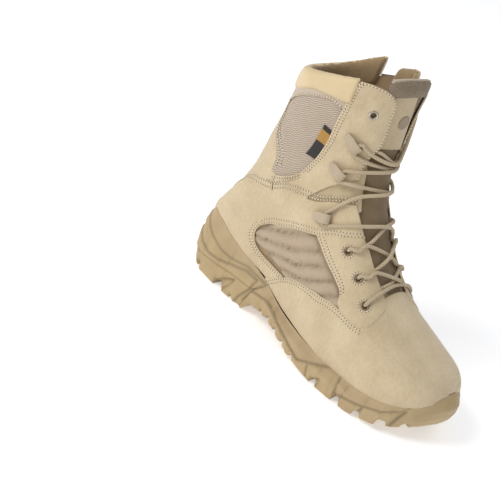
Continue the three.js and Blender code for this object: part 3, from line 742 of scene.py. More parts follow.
def lower_facing(side):
    back = WINDOW_FRONT + [(6.05, 72), (5.6, 73), (5.2, 68), (4.83, 61)]
    tab = [(4.83, 61), (4.63, 53), (4.57, 44), (4.58, 34), (4.68, 24), (5.0, 19.5)]
    front = [(5.0, 19.5), (5.4, 20), (5.97, 22), (6.63, 25), (7.14, 30), (7.7, 33)]
    lines = [[(7.7, 33), (8.3, 78)], [(8.3, 78), (8.04, 74)], back, tab, front]
    holes = EYELETS
    if side == "inner":
        lines = [to_other_side(line) for line in lines]
        holes = to_other_side(holes)
    loops = [outline(*lines)] + [hole(place) for place in holes]
    return panel(f"lower_facing_{side}", loops, 0.6, 1.3, SUEDE)


def upper_facing_height(station, angle):
    """The facing lies on top of its neighbours, but its lowest back corner is tucked under the counter."""
    off_centre = from_front(angle)
    return 0.9 - 0.8 * ramp(off_centre, 74, 82, 0, 1) * ramp(station, 9.8, 10.1, 1, 0)


def upper_facing(side):
    foot = [(9.10, 74), (9.17, 60), (9.12, 48), (9.08, 36)]
    if side == "outer":
        lines = [foot, FACING_EDGE, FACING_BACK, MESH_FOOT[:3], [(10.17, 95), (9.5, 94)],
                 [(9.5, 94), (9.3, 85), (8.95, 76), (9.10, 74)]]
        top = TOP_EYELET
    else:
        zip_side = [(14.02, 273.5), (12.0, 273.0), (9.9, 274), (9.35, 272)]
        lines = [to_other_side(line) for line in [foot, FACING_EDGE]]
        lines += [[(14.02, 295), (14.02, 273.5)], zip_side, [(9.35, 272), (9.1, 280), (8.95, 284),
        (9.10, 286)]]
        top = to_other_side([TOP_EYELET])[0]
    loops = [outline(*lines), hole(top)]
    return panel(f"upper_facing_{side}", loops, upper_facing_height, 1.4, SUEDE)


for side in ("outer", "inner"):
    lower_facing(side)
    upper_facing(side)

# %% [markdown]
# ## Ankle and gusset
# The back of the shaft is one suede piece round the tendon, between the two windows. Under the strap and
# the facings a softer piece folds in, and it shows as a small triangle above the strap. Its suede is a
# darker copy of the main one, painted shade for where it folds in.

# %% Ankle and gusset
def ankle():
    inner_mesh_back = backwards(to_other_side(MESH_BACK))
    loop = outline(
        [(10.17, 95), (10.44, 102)], MESH_BACK, [(12.93, 147), (13.5, 151)],
        [(13.5, 151), (13.5, 180), (13.5, 209)], [(13.5, 209), (12.93, 213)], inner_mesh_back,
        [(10.44, 258), (9.7, 256)],
        [(9.7, 256), (10.0, 242), (10.2, 204), (10.2, 180)], [(10.2, 180), (10.2, 156), (9.9, 120),
        (9.4, 94)],
        [(9.4, 94), (10.17, 95)])
    return panel("ankle", [loop], 0.1, 1.3, SUEDE)


def gusset(side):
    loop = [(8.0, 32), (9.6, 32), (9.9, 60), (9.6, 84), (8.6, 84), (8.0, 60)]
    loop = loop if side == "outer" else to_other_side(loop)
    # Its suede is the darker copy, painted shade where it folds in.
    return panel(f"gusset_{side}", [outline(loop + loop[:1])], -0.5, 1.0, SUEDE_SHADED)


ankle()
gusset("outer")
gusset("inner")

# %% [markdown]
# ## Windows
# The shaft window is mesh with a little crown. The quarter window is ribbed nylon sewn in rounded
# pleats, which are real ridges here and not only a bump; their valleys are also painted darker and their
# ridges lighter, as painted shade. Both sheets run on under their leather frames.

# %% Windows
PLEAT = 0.42  # stations from one pleat to the next
PLEAT_SLANT = 0.0256  # stations that a pleat rises for each degree towards the back
PLEAT_FLOOR = -2.9
PLEAT_RISE = 3.2


def pleats(station, angle):
    off_centre = from_front(angle)
    across = (station - PLEAT_SLANT * (off_centre - 73)) / PLEAT
    back = np.where(np.asarray(angle) > 180, 92, 116)  # the inner window is shorter, because of the zip
    kept = ramp(off_centre, back, back + 8, 1, 0) * ramp(station, 8.65, 8.9, 1, 0)
    front = np.interp(station, *np.array(backwards(WINDOW_FRONT)).T)
    kept = kept * ramp(off_centre - front, -1, 4, 0, 1)
    wander = 0.06 * np.sin(off_centre / 6.5) + 0.03 * np.sin(off_centre / 3.1 + 2 * np.floor(across))
    ridge = np.abs(np.sin(np.pi * (across + wander))) ** 0.45
    return PLEAT_FLOOR + PLEAT_RISE * ridge * kept


def shade_corners(made, name, rule):
    """Stores a number at each corner of a panel, which its material can read back."""
    places = np.array([corner.uv for corner in made.data.uv_layers["UVMap"].data])
    numbers = rule(*from_flat(places[:, 0], places[:, 1]))
    made.data.attributes.new(name, "FLOAT", "CORNER").data.foreach_set("value", numbers)


def quarter_window(side):
    loop = [(9.2, 120), (9.2, 104), (8.7, 80), (8.2, 64), (6.3, 60), (5.7, 66), (5.9, 80), (6.9, 110),
            (7.4, 132), (8.4, 134)]
    if side == "inner":
        loop = to_other_side([(8.7, 102), (8.7, 86), (8.2, 64), (6.3, 60), (5.7, 66), (5.9, 80),
                              (6.8, 108), (8.0, 112)])
    loops = [outline(loop + loop[:1])]
    made = panel(f"quarter_window_{side}", loops, pleats, 0.7, QUARTER_NYLON)
    # Each corner keeps how high it lies in its pleat, which the nylon turns into painted shade.
    shade_corners(made, "pleat_shade", lambda station, angle: (pleats(station, angle) - PLEAT_FLOOR) / PLEAT_RISE)
    return made


def mesh_height(station, angle):
    off_centre = from_front(angle)
    upward = np.clip(1 - ((station - 11.6) / 1.9) ** 2, 0, 1)
    sideways = np.clip(1 - ((off_centre - 104) / 34) ** 2, 0, 1)
    return -0.9 + 1.1 * (upward * sideways)


def shaft_window(side):
    if side == "outer":
        loop = [(13.45, 152), (13.45, 66), (9.8, 66), (9.8, 104), (10.4, 118), (12.6, 152)]
    else:
        loop = [(13.45, 208), (13.45, 256.5), (10.1, 257), (10.1, 246), (10.5, 240), (12.6, 208)]
    corners = [[a, b] for a, b in zip(loop, loop[1:] + loop[:1])]
    return panel(f"shaft_window_{side}", [outline(*corners)], mesh_height, 0.7, SHAFT_MESH)


def window_band(side):
    """The cloth band that binds the window's top edge, under the collar."""
    lines = [MESH_TOP, [(12.43, 72), (12.70, 70)], backwards(PAD_LINE), [(13.42, 150), (12.93, 147)]]
    if side == "inner":
        lines = [[(12.93, 213), (13.12, 235), (13.12, 256.5)], [(13.12, 256.5), (13.5, 256.5)],
                 [(13.5, 256.5), (13.5, 235), (13.42, 210)], [(13.42, 210), (12.93, 213)]]
    return panel(f"window_band_{side}", [outline(*lines)], 0.5, 0.9, BAND_CLOTH)


for side in ("outer", "inner"):
    quarter_window(side)
    shaft_window(side)
    window_band(side)

# %% [markdown]
# ## Lining and insole
# Inside the panels runs one soft lining, from the toes to the collar. It is cut like a panel, with the
# throat left open, and it hides the joints of the pieces outside it. The insole lies on it.

# %% Lining and insole
THROAT = [(4.95, 4), (5.1, 12), (5.5, 18), (6.4, 23), (7.3, 29), (8.3, 36), (9.1, 35), (9.8, 30),
          (10.5, 24), (12.3, 22), (13.0, 29), (13.5, 41), (13.85, 55), (13.9, 66)]


def lining():
    collar_line = [(13.9, 66), (13.9, 180), (13.9, 294)]
    inner_throat = backwards(to_other_side(THROAT))
    loop = outline(THROAT, collar_line, inner_throat, [(4.95, 356), (4.95, 359.6)],
                   [(4.95, 359.6), (1.0, 359.6)],
                   [(1.0, 359.6), (1.0, 180), (1.0, 0.4)], [(1.0, 0.4), (4.95, 0.4)],
                   [(4.95, 0.4), (4.95, 4)])
    made = panel("lining", [loop], -2.05, 0.55, LINING)
    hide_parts("upper")


def insole():
    outer_edge = [(1.0, 164), (1.6, 140), (2.6, 130), (5.0, 128), (8.0, 130), (8.8, 146), (8.95, 180)]
    loop = outline(outer_edge, to_other_side(backwards(outer_edge)), [(1.0, 196), (1.0, 164)])
    made = panel("insole_bed", [loop], -3.6, 3.4, LINING)
    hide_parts("insole")


lining()
insole()

# %% [markdown]
# ## Tongue
# The tongue is a padded strip behind the laces, in a dark woven cloth. Near the top it carries a suede
# patch with a plain embossed oval, and above that a band of coarse net that rolls over the edge.

# %% Tongue
TONGUE = [(4.9, 20), (5.5, 32), (7.3, 42), (8.3, 48), (9.1, 48), (10.5, 38), (12.3, 36), (14.3, 37)]
TONGUE_TOP = -2.9


def tongue_height(station, angle):
    """A crown across the strip, with shallow quilted rolls along it."""
    off_centre = from_front(angle)
    rolls = 0.5 * np.sin(station * 2 * np.pi / 0.9) * ramp(station, 10.2, 10.8, 1.0, 0.0)
    return TONGUE_TOP + 1.0 * np.cos(np.radians(np.clip(off_centre * 2, 0, 90))) + rolls


def band_height(station, angle):
    off_centre = from_front(angle)
    roll = np.sqrt(np.clip(1 - ((station - 13.6) / 1.05) ** 2, 0, 1))
    return TONGUE_TOP + 0.6 + 3.0 * roll * ramp(off_centre, 26, 38, 1.0, 0.55)


def tongue():
    left = [(station, -half) for station, half in TONGUE]
    loop = outline(left, [(14.0, -35), (14.3, 0), (14.2, 37)], backwards(TONGUE), [(4.9, 20), (4.85, 0),
                   (4.9, -20)])
    made = panel("tongue_strip", [loop], tongue_height, 4.0, TONGUE_CLOTH)
    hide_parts("tongue")


def tongue_band():
    loop = outline([(12.75, 36), (13.6, 37), (14.2, 34)], [(14.2, 34), (14.45, 12), (14.4, -8),
                   (14.1, -29)],
                   [(14.1, -29), (13.6, -31), (12.75, -30)], [(12.75, -30), (12.7, 0), (12.75, 36)])
    made = panel("tongue_band", [loop], band_height, 6.0, TONGUE_NET)


def tongue_binding():
    """The pale tape along the band's top edge."""
    loop = outline([(14.05, 36), (14.3, 15), (14.25, -10), (13.95, -31)], [(13.95, -31), (14.25, -30)],
                   [(14.25, -30), (14.56, -9), (14.61, 13), (14.38, 35)], [(14.38, 35), (14.05, 36)])
    panel("tongue_binding", [loop], -0.9, 3.0, BAND_CLOTH)


def tongue_patch():
    loop = outline([(10.15, 27), (11.5, 30), (12.9, 32)], [(12.9, 32), (12.95, 15), (12.88, -3)],
                   [(12.88, -3), (11.6, -9), (9.95, -17)], [(9.95, -17), (9.98, 5), (10.15, 27)])
    oval = hole((11.25, 2), 6.0, 1.15)
    frame_line = outline(oval + oval[:1])
    # The patch is cut from the darker copy of the suede, which paints shade on it.
    panel("tongue_patch", [loop], -0.7, 1.2, SUEDE_SHADED)
    panel("tongue_oval", [frame_line], 0.0, 0.9, SUEDE_PRINTED)


tongue()
tongue_band()
tongue_binding()
tongue_patch()

# %% [markdown]
# ## Padded collar
# The collar is a roll of foam under smooth leather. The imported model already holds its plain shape, so a
# copy of that is merged into one skin, remeshed evenly, and blown up a little by a cloth simulation with
# its sewn lower edge pinned. That gives the taut, slightly uneven roundness of real padding.

# %% Collar padding
def blow_up(made, is_sewn, pressure, reach):
    """Inflates a mesh as cloth, with its sewn corners held and every move capped at `reach`."""
    bpy.context.view_layer.objects.active = made
    remesh = made.modifiers.new("even_skin", "REMESH")
    remesh.mode = "VOXEL"
    remesh.voxel_size = 2.6 * MM
    bpy.ops.object.modifier_apply(modifier=remesh.name)
    before = [vert.co.copy() for vert in made.data.vertices]
    sewn = made.vertex_groups.new(name="sewn")
    sewn.add([i for i, place in enumerate(before) if is_sewn(place)], 1.0, "REPLACE")
    cloth = made.modifiers.new("padding", "CLOTH")
    cloth.settings.use_pressure = True
    cloth.settings.uniform_pressure_force = pressure
    cloth.settings.effector_weights.gravity = 0
    cloth.settings.vertex_group_mass = sewn.name
    for frame_number in range(1, 21):
        bpy.context.scene.frame_set(frame_number)
    bpy.ops.object.modifier_apply(modifier=cloth.name)
    bpy.context.scene.frame_set(1)
    for vert, start in zip(made.data.vertices, before):
        move = vert.co - start
        if move.length > reach:
            vert.co = start + move.normalized() * reach
    made.vertex_groups.clear()


PAD_PRESSURE = 7.0
PAD_REACH = 3.4 * MM
FAR_RIM_RISE = 22 * MM


def far_rim_lift(place):
    """How far the rim stands up on the inner side, most of all just behind the zip."""
    inner_side = ramp(place.y, -0.02, 0.035, 0, 1) * ramp(place.z, 0.205, 0.25, 0, 1)
    behind_zip = ramp(place.x, -0.125, -0.08, 0, 1) * ramp(place.x, -0.072, -0.064, 1, 0.3)
    return FAR_RIM_RISE * inner_side * behind_zip


def padded_copy(name, node, low_edge):
    """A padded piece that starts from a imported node's shape, inside leather and lining."""
    bm = bmesh.new()
    bm.from_mesh(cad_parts[node].data)
    bmesh.ops.remove_doubles(bm, verts=bm.verts[:], dist=0.02 * MM)
    mesh = bpy.data.meshes.new(name)
    bm.to_mesh(mesh)
    bm.free()
    made = put_in_scene(name, mesh)
    for vert in mesh.vertices:
        vert.co.z += far_rim_lift(vert.co)
    blow_up(made, lambda place: place.z < low_edge(place), PAD_PRESSURE, PAD_REACH)
    smooth = made.modifiers.new("finer", "SUBSURF")
    smooth.levels = smooth.render_levels = 1
    mesh = made.data
    mesh.materials.append(COLLAR_LEATHER)
    mesh.materials.append(LINING)
    mesh.polygons.foreach_set("use_smooth", [True] * len(mesh.polygons))
    middle = Vector((-0.062, 0.002, 0))
    for face in mesh.polygons:
        outward = face.center - middle
        outward.z = 0
        inside = face.normal.dot(outward.normalized()) < -0.25
        face.material_index = 1 if inside else 0
    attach(made, "boot")
    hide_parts(node)
    print(f"{name}: {len(mesh.polygons)} faces")


def pad_seam_height(place):
    """The height of the pads' sewn lower edge, which drops towards the throat."""
    return float(np.interp(place.x, [-0.115, -0.075, -0.05, -0.03], [0.198, 0.216, 0.213, 0.198]))


padded_copy("collar_roll", "collar_pad", pad_seam_height)
padded_copy("collar_roll_front", "collar_pad_front", pad_seam_height)

# %% [markdown]
# ## Sole
# The sole is one moulding round the whole foot. Its wall is a long strip, wrapped once round the outline:
# along the strip it follows the edge of the sole, and across the strip it follows the wall's profile,
# from inside the rim, over it, down the wall, under the edge lugs and up to the tread. On the wall the
# outsole's blocks stand proud of the smooth midsole, with soft moulded edges.

# %% The wall's profile
# How far the wall stands in from its widest line, at shares of its height from the foot to the rim.
SHARES = [0, 0.05, 0.12, 0.26, 0.45, 0.66, 0.82, 0.93, 1.0]
SIDE_INSET = [3.0, 1.3, 0.6, 0.1, 0, 0.4, 1.0, 1.5, 2.4]
HEEL_INSET = [13, 8, 4.5, 1.0, 0, 0, 0.8, 1.8, 3.4]
TOE_INSET = [11, 7, 4.5, 1.6, 0, 0.2, 1.2, 2.8, 5.0]

# %% [markdown]
# Blocks are closed outlines seen from the side, each raised by some millimetres. Grooves and ridges are
# lines with a half width and a height. Both sides of the sole share them.

# %% Blocks, grooves and lug gaps
HEEL_BAND = [(-12, 57), (3, 54), (15, 44), (25, 38.5), (40, 34.5), (57, 34.5), (72, 37), (98, 34.5),
             (91, 26), (60, 24),
             (20, 18), (-12, 18)]
HEEL_BLOCK = [(-12, 38), (3, 35), (15, 27.5), (27, 23.5), (43, 25.5), (60, 31), (75, 34.5), (89, 33.5),
              (87, 25), (83, 18),
              (78, 10), (72, -6), (-12, -6)]
WAIST_BLOCK = [(90, 23), (98, 24.5), (108, 26.5), (118, 24), (130, 19), (142, 15), (158, 10.5),
               (167, 8), (177, 13.5), (190, 18.5),
               (199, 21.5), (207, 23), (211, 17), (214, 5), (214, -6), (80, -6), (86, 10)]
TOE_BLOCK = [(216, 9), (226, 11), (236, 13), (255, 18.5), (265, 24), (271, 32), (277, 40), (283, 47),
             (300, 52), (300, -6),
             (212, -6)]
BLOCKS = [  # outline, how proud it stands, how soft its edge is
    (HEEL_BAND, 1.1, 0.5),
    (HEEL_BLOCK, 1.6, 0.45),
    (WAIST_BLOCK, 1.9, 0.5),
    (TOE_BLOCK, 1.7, 0.55),
    ([(44, -3), (50, 8), (58, 15), (68, 20.5), (64, 12), (58, 4), (55, -3)], -2.6, 0.6),
    ([(188, 1), (191, 7), (196, 10.5), (196, 6), (193, 0)], -2.2, 0.6),
]
LINES = [  # places (x, z), half width, height
    ([(-5, 47), (8, 42), (17, 36), (28, 31.5), (44, 30.5)], 1.5, 0.7),
    ([(84, 9), (87, 17), (90, 25), (96, 32)], 1.0, -1.2),
    ([(104, 25), (99, 12)], 1.6, 1.0),
    ([(114, 23), (112, 11)], 1.4, 0.8),
    ([(125, 18), (123, 9)], 1.4, 0.9),
    ([(138, 15), (138, 5)], 1.4, 0.8),
    ([(151, 11), (153, 3)], 1.4, 0.9),
    ([(203, 21), (207, 2)], 1.2, 0.9),
    ([(180, 13), (183, -1)], 1.3, -0.7),
    ([(240, 13), (237, 1)], 1.5, -0.9),
    ([(254, 17), (251, 4)], 1.5, 0.9),
    ([(268, 26), (262, 6)], 1.6, -0.8),
    ([(30, 12), (24, 2)], 2.0, 1.0),
]
LUG_GAPS = [  # place, width, height of the gap
    (19, 6, 7), (50, 8, 7), (69, 3, 4), (108, 3, 4), (119, 3, 4), (131, 3, 4), (144, 3, 4), (159, 4, 4),
    (190, 5, 6), (216, 7, 7), (237, 5, 5), (257, 6, 6), (272, 4, 4),
]
EDGE_LUG = 14.0
TREAD_DEPTH = 5.0
MIDSOLE_LINE = [(-12, 57), (3, 54), (15, 44), (25, 38.5), (40, 34.5), (57, 34.5), (80, 36), (93, 33),
                (100, 26), (120, 20), (158, 10), (167, 8), (190, 18),
                (207, 22), (214, 10), (236, 13), (265, 24), (277, 40), (300, 60)]


def distance_to_line(points, line):
    """The distance from each point to a line of straight stretches, both seen from the side."""
    best = np.full(len(points), 1e9)
    for start, end in zip(np.array(line[:-1], float), np.array(line[1:], float)):
        step = end - start
        share = np.clip((points - start) @ step / (step @ step), 0, 1)
        best = np.minimum(best, np.linalg.norm(points - start - share[:, None] * step, axis=1))
    return best


def depth_inside(points, corners):
    """The distance to an outline's edge, above zero inside it and below zero outside."""
    inside = np.zeros(len(points), bool)
    for (x0, z0), (x1, z1) in zip(corners, corners[1:] + corners[:1]):
        if z0 != z1:
            crosses = (z0 > points[:, 1]) != (z1 > points[:, 1])
            inside ^= crosses & (points[:, 0] < (x1 - x0) * (points[:, 1] - z0) / (z1 - z0) + x0)
    return np.where(inside, 1, -1) * distance_to_line(points, corners + corners[:1])


def wall_relief(x, z):
    points = np.stack([x, z], -1)
    total = np.zeros(len(points))
    for corners, proud, soft in BLOCKS:
        total += ramp(depth_inside(points, corners), -soft, soft, 0, proud)
    for line, half_width, height in LINES:
        total += height * np.exp(-((distance_to_line(points, line) / half_width) ** 2))
    return total


def wall_groove_shade(x, z):
    """How much painted shade each point gets, from 0 to 1: most in sunken grooves and at the foot of each
    block's edge.
    """
    points = np.stack([x, z], -1)
    total = np.zeros(len(points))
    for corners, _, soft in BLOCKS:
        total = np.maximum(total, 0.8 * np.exp(-(((depth_inside(points, corners) + soft) / 0.8) ** 2)))
    for line, half_width, height in LINES:
        if height < 0:
            total = np.maximum(total, np.exp(-((distance_to_line(points, line) / (0.8 * half_width)) ** 2)))
    return total


def gap_height(x):
    """How high the lug gaps reach above the foot of the wall."""
    total = np.zeros_like(x)
    for place, width, height in LUG_GAPS:
        total = np.maximum(total, height * ramp(np.abs(x - place), width / 2, width / 2 + 1.0, 1, 0))
    return total


# %% The sole's outline in plan
def plan_outline(spacing):
    """Points round the sole from the heel's back, outer side first, with their outward directions."""
    x = np.concatenate([SOLE[:, 0], np.arange(2, 287, 1.0)])
    x = np.unique(x)
    outer = np.stack([x, -sole_number(x, "lateral")], -1)
    inner = np.stack([x, sole_number(x, "medial")], -1)[::-1]
    ring = np.concatenate([[[0, 0]], outer, inner, [[0, 0]]])
    lengths = np.concatenate([[0], np.cumsum(np.linalg.norm(np.diff(ring, axis=0), axis=1))])
    count = int(lengths[-1] / spacing)
    at = np.linspace(0, lengths[-1], count, endpoint=False)
    even = np.stack([np.interp(at, lengths, ring[:, i]) for i in (0, 1)], -1)
    for _ in range(6):
        even = (np.roll(even, 1, 0) + 2 * even + np.roll(even, -1, 0)) / 4
    ahead = np.roll(even, -1, 0) - np.roll(even, 1, 0)
    out = np.stack([ahead[:, 1], -ahead[:, 0]], -1)
    out /= np.linalg.norm(out, axis=1, keepdims=True)
    if np.mean(np.sum(out * (even - even.mean(0)), 1)) < 0:
        out = -out
    return even, out


plan, plan_out = plan_outline(1.15)
print(len(plan), "columns round the sole")

# %% The sole's wall
WALL_ROWS = 50
HEEL_TUCK = 9  # how much further in the lugs' inner edge lies at the back of the heel
TOE_TUCK = 7


def rim_insets(places, heights):
    """How far in the rim lies, so that it hugs the last at its height."""
    stations, angles = np.meshgrid(np.linspace(0, 11, 160), np.linspace(60, 300, 181))
    surface = last_point(stations.ravel(), angles.ravel())
    tree = KDTree(len(surface))
    for i, point in enumerate(surface):
        tree.insert(point, i)
    tree.balance()
    found = []
    for place, height in zip(places, heights):
        near = tree.find(Vector((*(place + TABLE_TO_FRAME[:2]), height)))
        found.append(near[2])
    rough = np.clip(np.array(found) - 0.9, 0.8, 12.0)
    for _ in range(4):
        rough = (np.roll(rough, 1) + 2 * rough + np.roll(rough, -1)) / 4
    return rough


def wall_strip():
    x = plan[:, 0]
    top = sole_number(x, "top")
    foot = sole_number(x, "bottom", smooth=False)
    foot += gap_height(x)
    rim = rim_insets(plan, top)
    back = np.clip(-plan_out[:, 0], 0, 1) ** 1.5 * ramp(x, 0, 30, 1, 0)
    front = np.clip(plan_out[:, 0], 0, 1) ** 1.5 * ramp(x, 245, 287, 0, 1)
    rows = []
    base = np.concatenate([plan, foot[:, None]], 1)
    out = np.concatenate([plan_out, np.zeros((len(plan), 1))], 1)
    up = np.array([0, 0, 1.0])
    rows.append(base + out * -(rim + 3.0)[:, None] + up * (top - foot - 5.0)[:, None])
    rows.append(base + out * -(rim + 1.2)[:, None] + up * (top - foot - 0.6)[:, None])
    for share in np.linspace(1, 0, WALL_ROWS):
        side = np.interp(share, SHARES, SIDE_INSET)
        inset = side * (1 - back - front) + np.interp(share, SHARES, HEEL_INSET) * back
        inset = inset + np.interp(share, SHARES, TOE_INSET) * front
        blend = ramp(np.array(share), 0.66, 1.0, 0.0, 1.0)
        inset = inset * (1 - blend) + np.maximum(rim, 0.8) * blend
        height = foot + share * (top - foot)
        relief = wall_relief(x, height) * ramp(np.array(share), 0.9, 1.0, 1, 0)
        rows.append(base + out * (relief - inset)[:, None] + up * (height - foot)[:, None])
    tuck = HEEL_TUCK * back + TOE_TUCK * front
    for inset in (5.5, 9.5, EDGE_LUG):
        rows.append(base - out * (SIDE_INSET[0] + inset - 2.0 + tuck)[:, None])
    plate = sole_number(x, "bottom", smooth=False) + TREAD_DEPTH
    deep = base - out * (EDGE_LUG + 2.0 + tuck)[:, None]
    deep[:, 2] = np.maximum(plate, foot)
    rows.append(deep)
    return rows


def sole():
    rows = wall_strip()
    count = len(plan)
    bm = bmesh.new()
    bmesh.ops.create_grid(bm, x_segments=count, y_segments=len(rows) - 1, size=0.5)
    columns = {}
    for vert in bm.verts:
        column = round((vert.co.x + 0.5) * count) % count
        row = round((vert.co.y + 0.5) * (len(rows) - 1))
        columns[vert] = (column, row)
    for vert, (column, row) in columns.items():
        vert.co = rows[row][column] + TABLE_TO_FRAME
    bmesh.ops.remove_doubles(bm, verts=bm.verts[:], dist=0.001)
    open_edges = [edge for edge in bm.edges if edge.is_boundary]
    bmesh.ops.holes_fill(bm, edges=open_edges, sides=0)
    bmesh.ops.recalc_face_normals(bm, faces=bm.faces[:])
    for face in bm.faces:
        middle = face.calc_center_median() - Vector(TABLE_TO_FRAME)
        line = np.interp(middle.x, *np.array(MIDSOLE_LINE, float).T)
        face.material_index = 1 if middle.z > line else 0
    made = add_piece("sole", bm, [SOLE_RUBBER, MIDSOLE_FOAM])
    points = np.array([vert.co for vert in made.data.vertices]) / MM - TABLE_TO_FRAME
    # Painted shade for the rubber: darker in the sunken grooves and at the foot of each block's edge.
    groove_shade = wall_groove_shade(points[:, 0], points[:, 2])
    made.data.attributes.new("groove_shade", "FLOAT", "POINT").data.foreach_set("value", groove_shade)
    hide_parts("outsole", "midsole")


sole()

# %% [markdown]
# ## Tread
# Underneath, the band of edge lugs surrounds two sunken fields with round studs. Pointed leaf lugs reach
# into them, two wings cross the waist, and a grid of fine lines covers the arch. The tread is one sheet
# whose corners are lowered or raised by these shapes, all of them in millimetres, seen from below.

# %% Shapes of the tread
FORE_FIELD = [(254, 3), (238, -22), (218, -38), (190, -39), (150, -25), (123, -12), (112, -1),
              (134, 13), (174, 21),
              (206, 27), (226, 28), (244, 27), (254, 20)]
HEEL_FIELD = [(96, -1), (86, -8), (62, -18), (44, -17), (34, -8), (33, 8), (44, 18), (62, 17), (81, 10)]
LEAVES = [
    [(240, 0), (238, -12), (228, -22), (220, -27), (223, -18), (231, -9), (235, -3)],
    [(220, -14), (218, -23), (210, -32), (200, -38), (188, -39), (197, -31), (206, -21), (211, -15)],
    [(256, 17), (250, 20), (242, 24), (245, 31), (252, 25)],
    [(240, 16), (232, 21), (222, 25), (226, 31), (235, 31), (239, 25)],
    [(224, 14), (216, 15), (202, 19), (205, 26), (214, 29), (221, 24)],
    [(86, 13), (74, 15), (52, 19), (51, 26), (64, 29), (75, 26)],
    [(86, -15), (74, -17), (52, -20), (51, -27), (64, -31), (75, -28)],
]
WINGS = [
    [(186, -41), (170, -45), (155, -42), (137, -34), (127, -24), (115, -9), (144, -20), (170, -33)],
    [(206, 28), (200, 24), (174, 20), (150, 16), (130, 10), (138, 19), (150, 25), (160, 33), (172, 37),
    (185, 37), (197, 35)],
]
STUDS = [  # place, radius
    (181, -28, 6.4), (158, -18, 4.7), (140, -7, 6.4), (199, -19, 5.4), (188, -10, 5.2), (169, -8, 6.4),
    (156, 6, 6.4),
    (213, -6, 4.2), (226, -4, 4.6), (204, 1, 5.4), (192, 8, 6.6), (174, 11, 5.2), (217, 6, 4.6),
    (231, 10, 5.0),
    (246, 12, 5.0), (82, 0, 4.8), (66, -8, 4.6), (68, 7, 4.6), (52, -8, 4.6), (53, 8, 4.8), (41, 0, 4.8),
]
TREAD_LINES = [  # places, half width, height
    ([(134, -36), (127, -25), (118, -13), (108, -7), (94, -9), (78, -19), (62, -28)], 1.0, -1.8),
    ([(136, 15), (124, 10), (110, 5), (98, 8), (88, 15), (78, 24)], 1.0, -1.8),
    ([(121, -31), (112, -23), (102, -20), (90, -23), (80, -29)], 0.7, -1.0),
    ([(126, 22), (116, 17), (106, 15), (96, 18), (88, 24)], 0.7, -1.0),
    ([(110, -34), (111, -10)], 0.6, -0.9), ([(102, -34), (103, -8)], 0.6, -0.9), ([(94, -34),
      (95, -11)], 0.6, -0.9),
    ([(115, 9), (119, 28)], 0.6, -0.9), ([(105, 7), (107, 28)], 0.6, -0.9), ([(96, 11),
      (97, 28)], 0.6, -0.9),
    ([(264, 4), (265, 18), (262, 30)], 0.8, -1.6), ([(260, 3), (261, 18), (258, 29)], 0.8, -1.6),
    ([(270, -4), (255, 2), (245, -7)], 0.9, -2.0), ([(269, 36), (254, 28)], 0.9, -2.0),
    ([(245, -10), (232, -26), (224, -42)], 2.2, -1.8), ([(232, -24), (214, -36), (204, -46)], 2.0, -1.6),
    ([(206, -40), (192, -44), (182, -48)], 1.8, -1.4), ([(236, 32), (228, 38)], 2.0, -1.8), ([(212, 32),
      (206, 40)], 2.0, -1.6),
]
BADGE = [(143, 6), (124, -1)]  # a raised bar with a round end, plain here
FIELD_DEPTH = 4.0
TREAD_INSET = 13.2
TREAD_SPAN = (22.0, 266.0)
TREAD_CELL = 1.1
TREAD_WIDTH = 76


def tread_height(x, y):
    """How far each place stands out from the plate, and how much painted shade its grooves get."""
    points = np.stack([x, y], -1)
    height = np.full(len(points), TREAD_DEPTH - 0.3)
    # dark is painted shade, from 0 to 1, in the grooves and round the edges of the raised and sunken shapes.
    dark = np.zeros(len(points))
    for field in (FORE_FIELD, HEEL_FIELD):
        depth = depth_inside(points, field)
        height -= ramp(depth, -0.4, 1.0, 0, FIELD_DEPTH)
        dark = np.maximum(dark, 0.8 * np.exp(-((depth - 0.8) / 0.8) ** 2))
    for raised in LEAVES + WINGS:
        depth = depth_inside(points, raised)
        height = np.maximum(height, ramp(depth, -0.2, 1.2, 0, TREAD_DEPTH - 0.6))
        height -= 1.3 * np.exp(-(((depth + 0.6) / 0.6) ** 2))
        dark = np.maximum(dark, 0.9 * np.exp(-(((depth + 0.6) / 0.7) ** 2)))
    for stud_x, stud_y, radius in STUDS:
        away = np.hypot(x - stud_x, y - stud_y)
        dome = np.sqrt(np.clip(1 - (away / radius) ** 2, 0, 1))
        height = np.where(away < radius, np.maximum(height, 0.8 + 3.2 * dome), height)
        height -= 0.8 * np.exp(-(((away - radius - 0.3) / 0.5) ** 2))
        dark = np.maximum(dark, 0.9 * np.exp(-(((away - radius - 0.2) / 0.7) ** 2)))
    bar = distance_to_line(points, BADGE)
    height = np.where(bar < 3.4, np.maximum(height, 3.4 - 1.0 * ramp(bar, 1.6, 2.2, 1, 0)), height)
    dark = np.maximum(dark, 0.8 * np.exp(-(((bar - 3.4) / 0.6) ** 2)))
    for line, half_width, rise in TREAD_LINES:
        near = np.exp(-((distance_to_line(points, line) / half_width) ** 2))
        height += rise * near
        dark = np.maximum(dark, 0.8 * near)
    return np.maximum(height, 0.2), dark


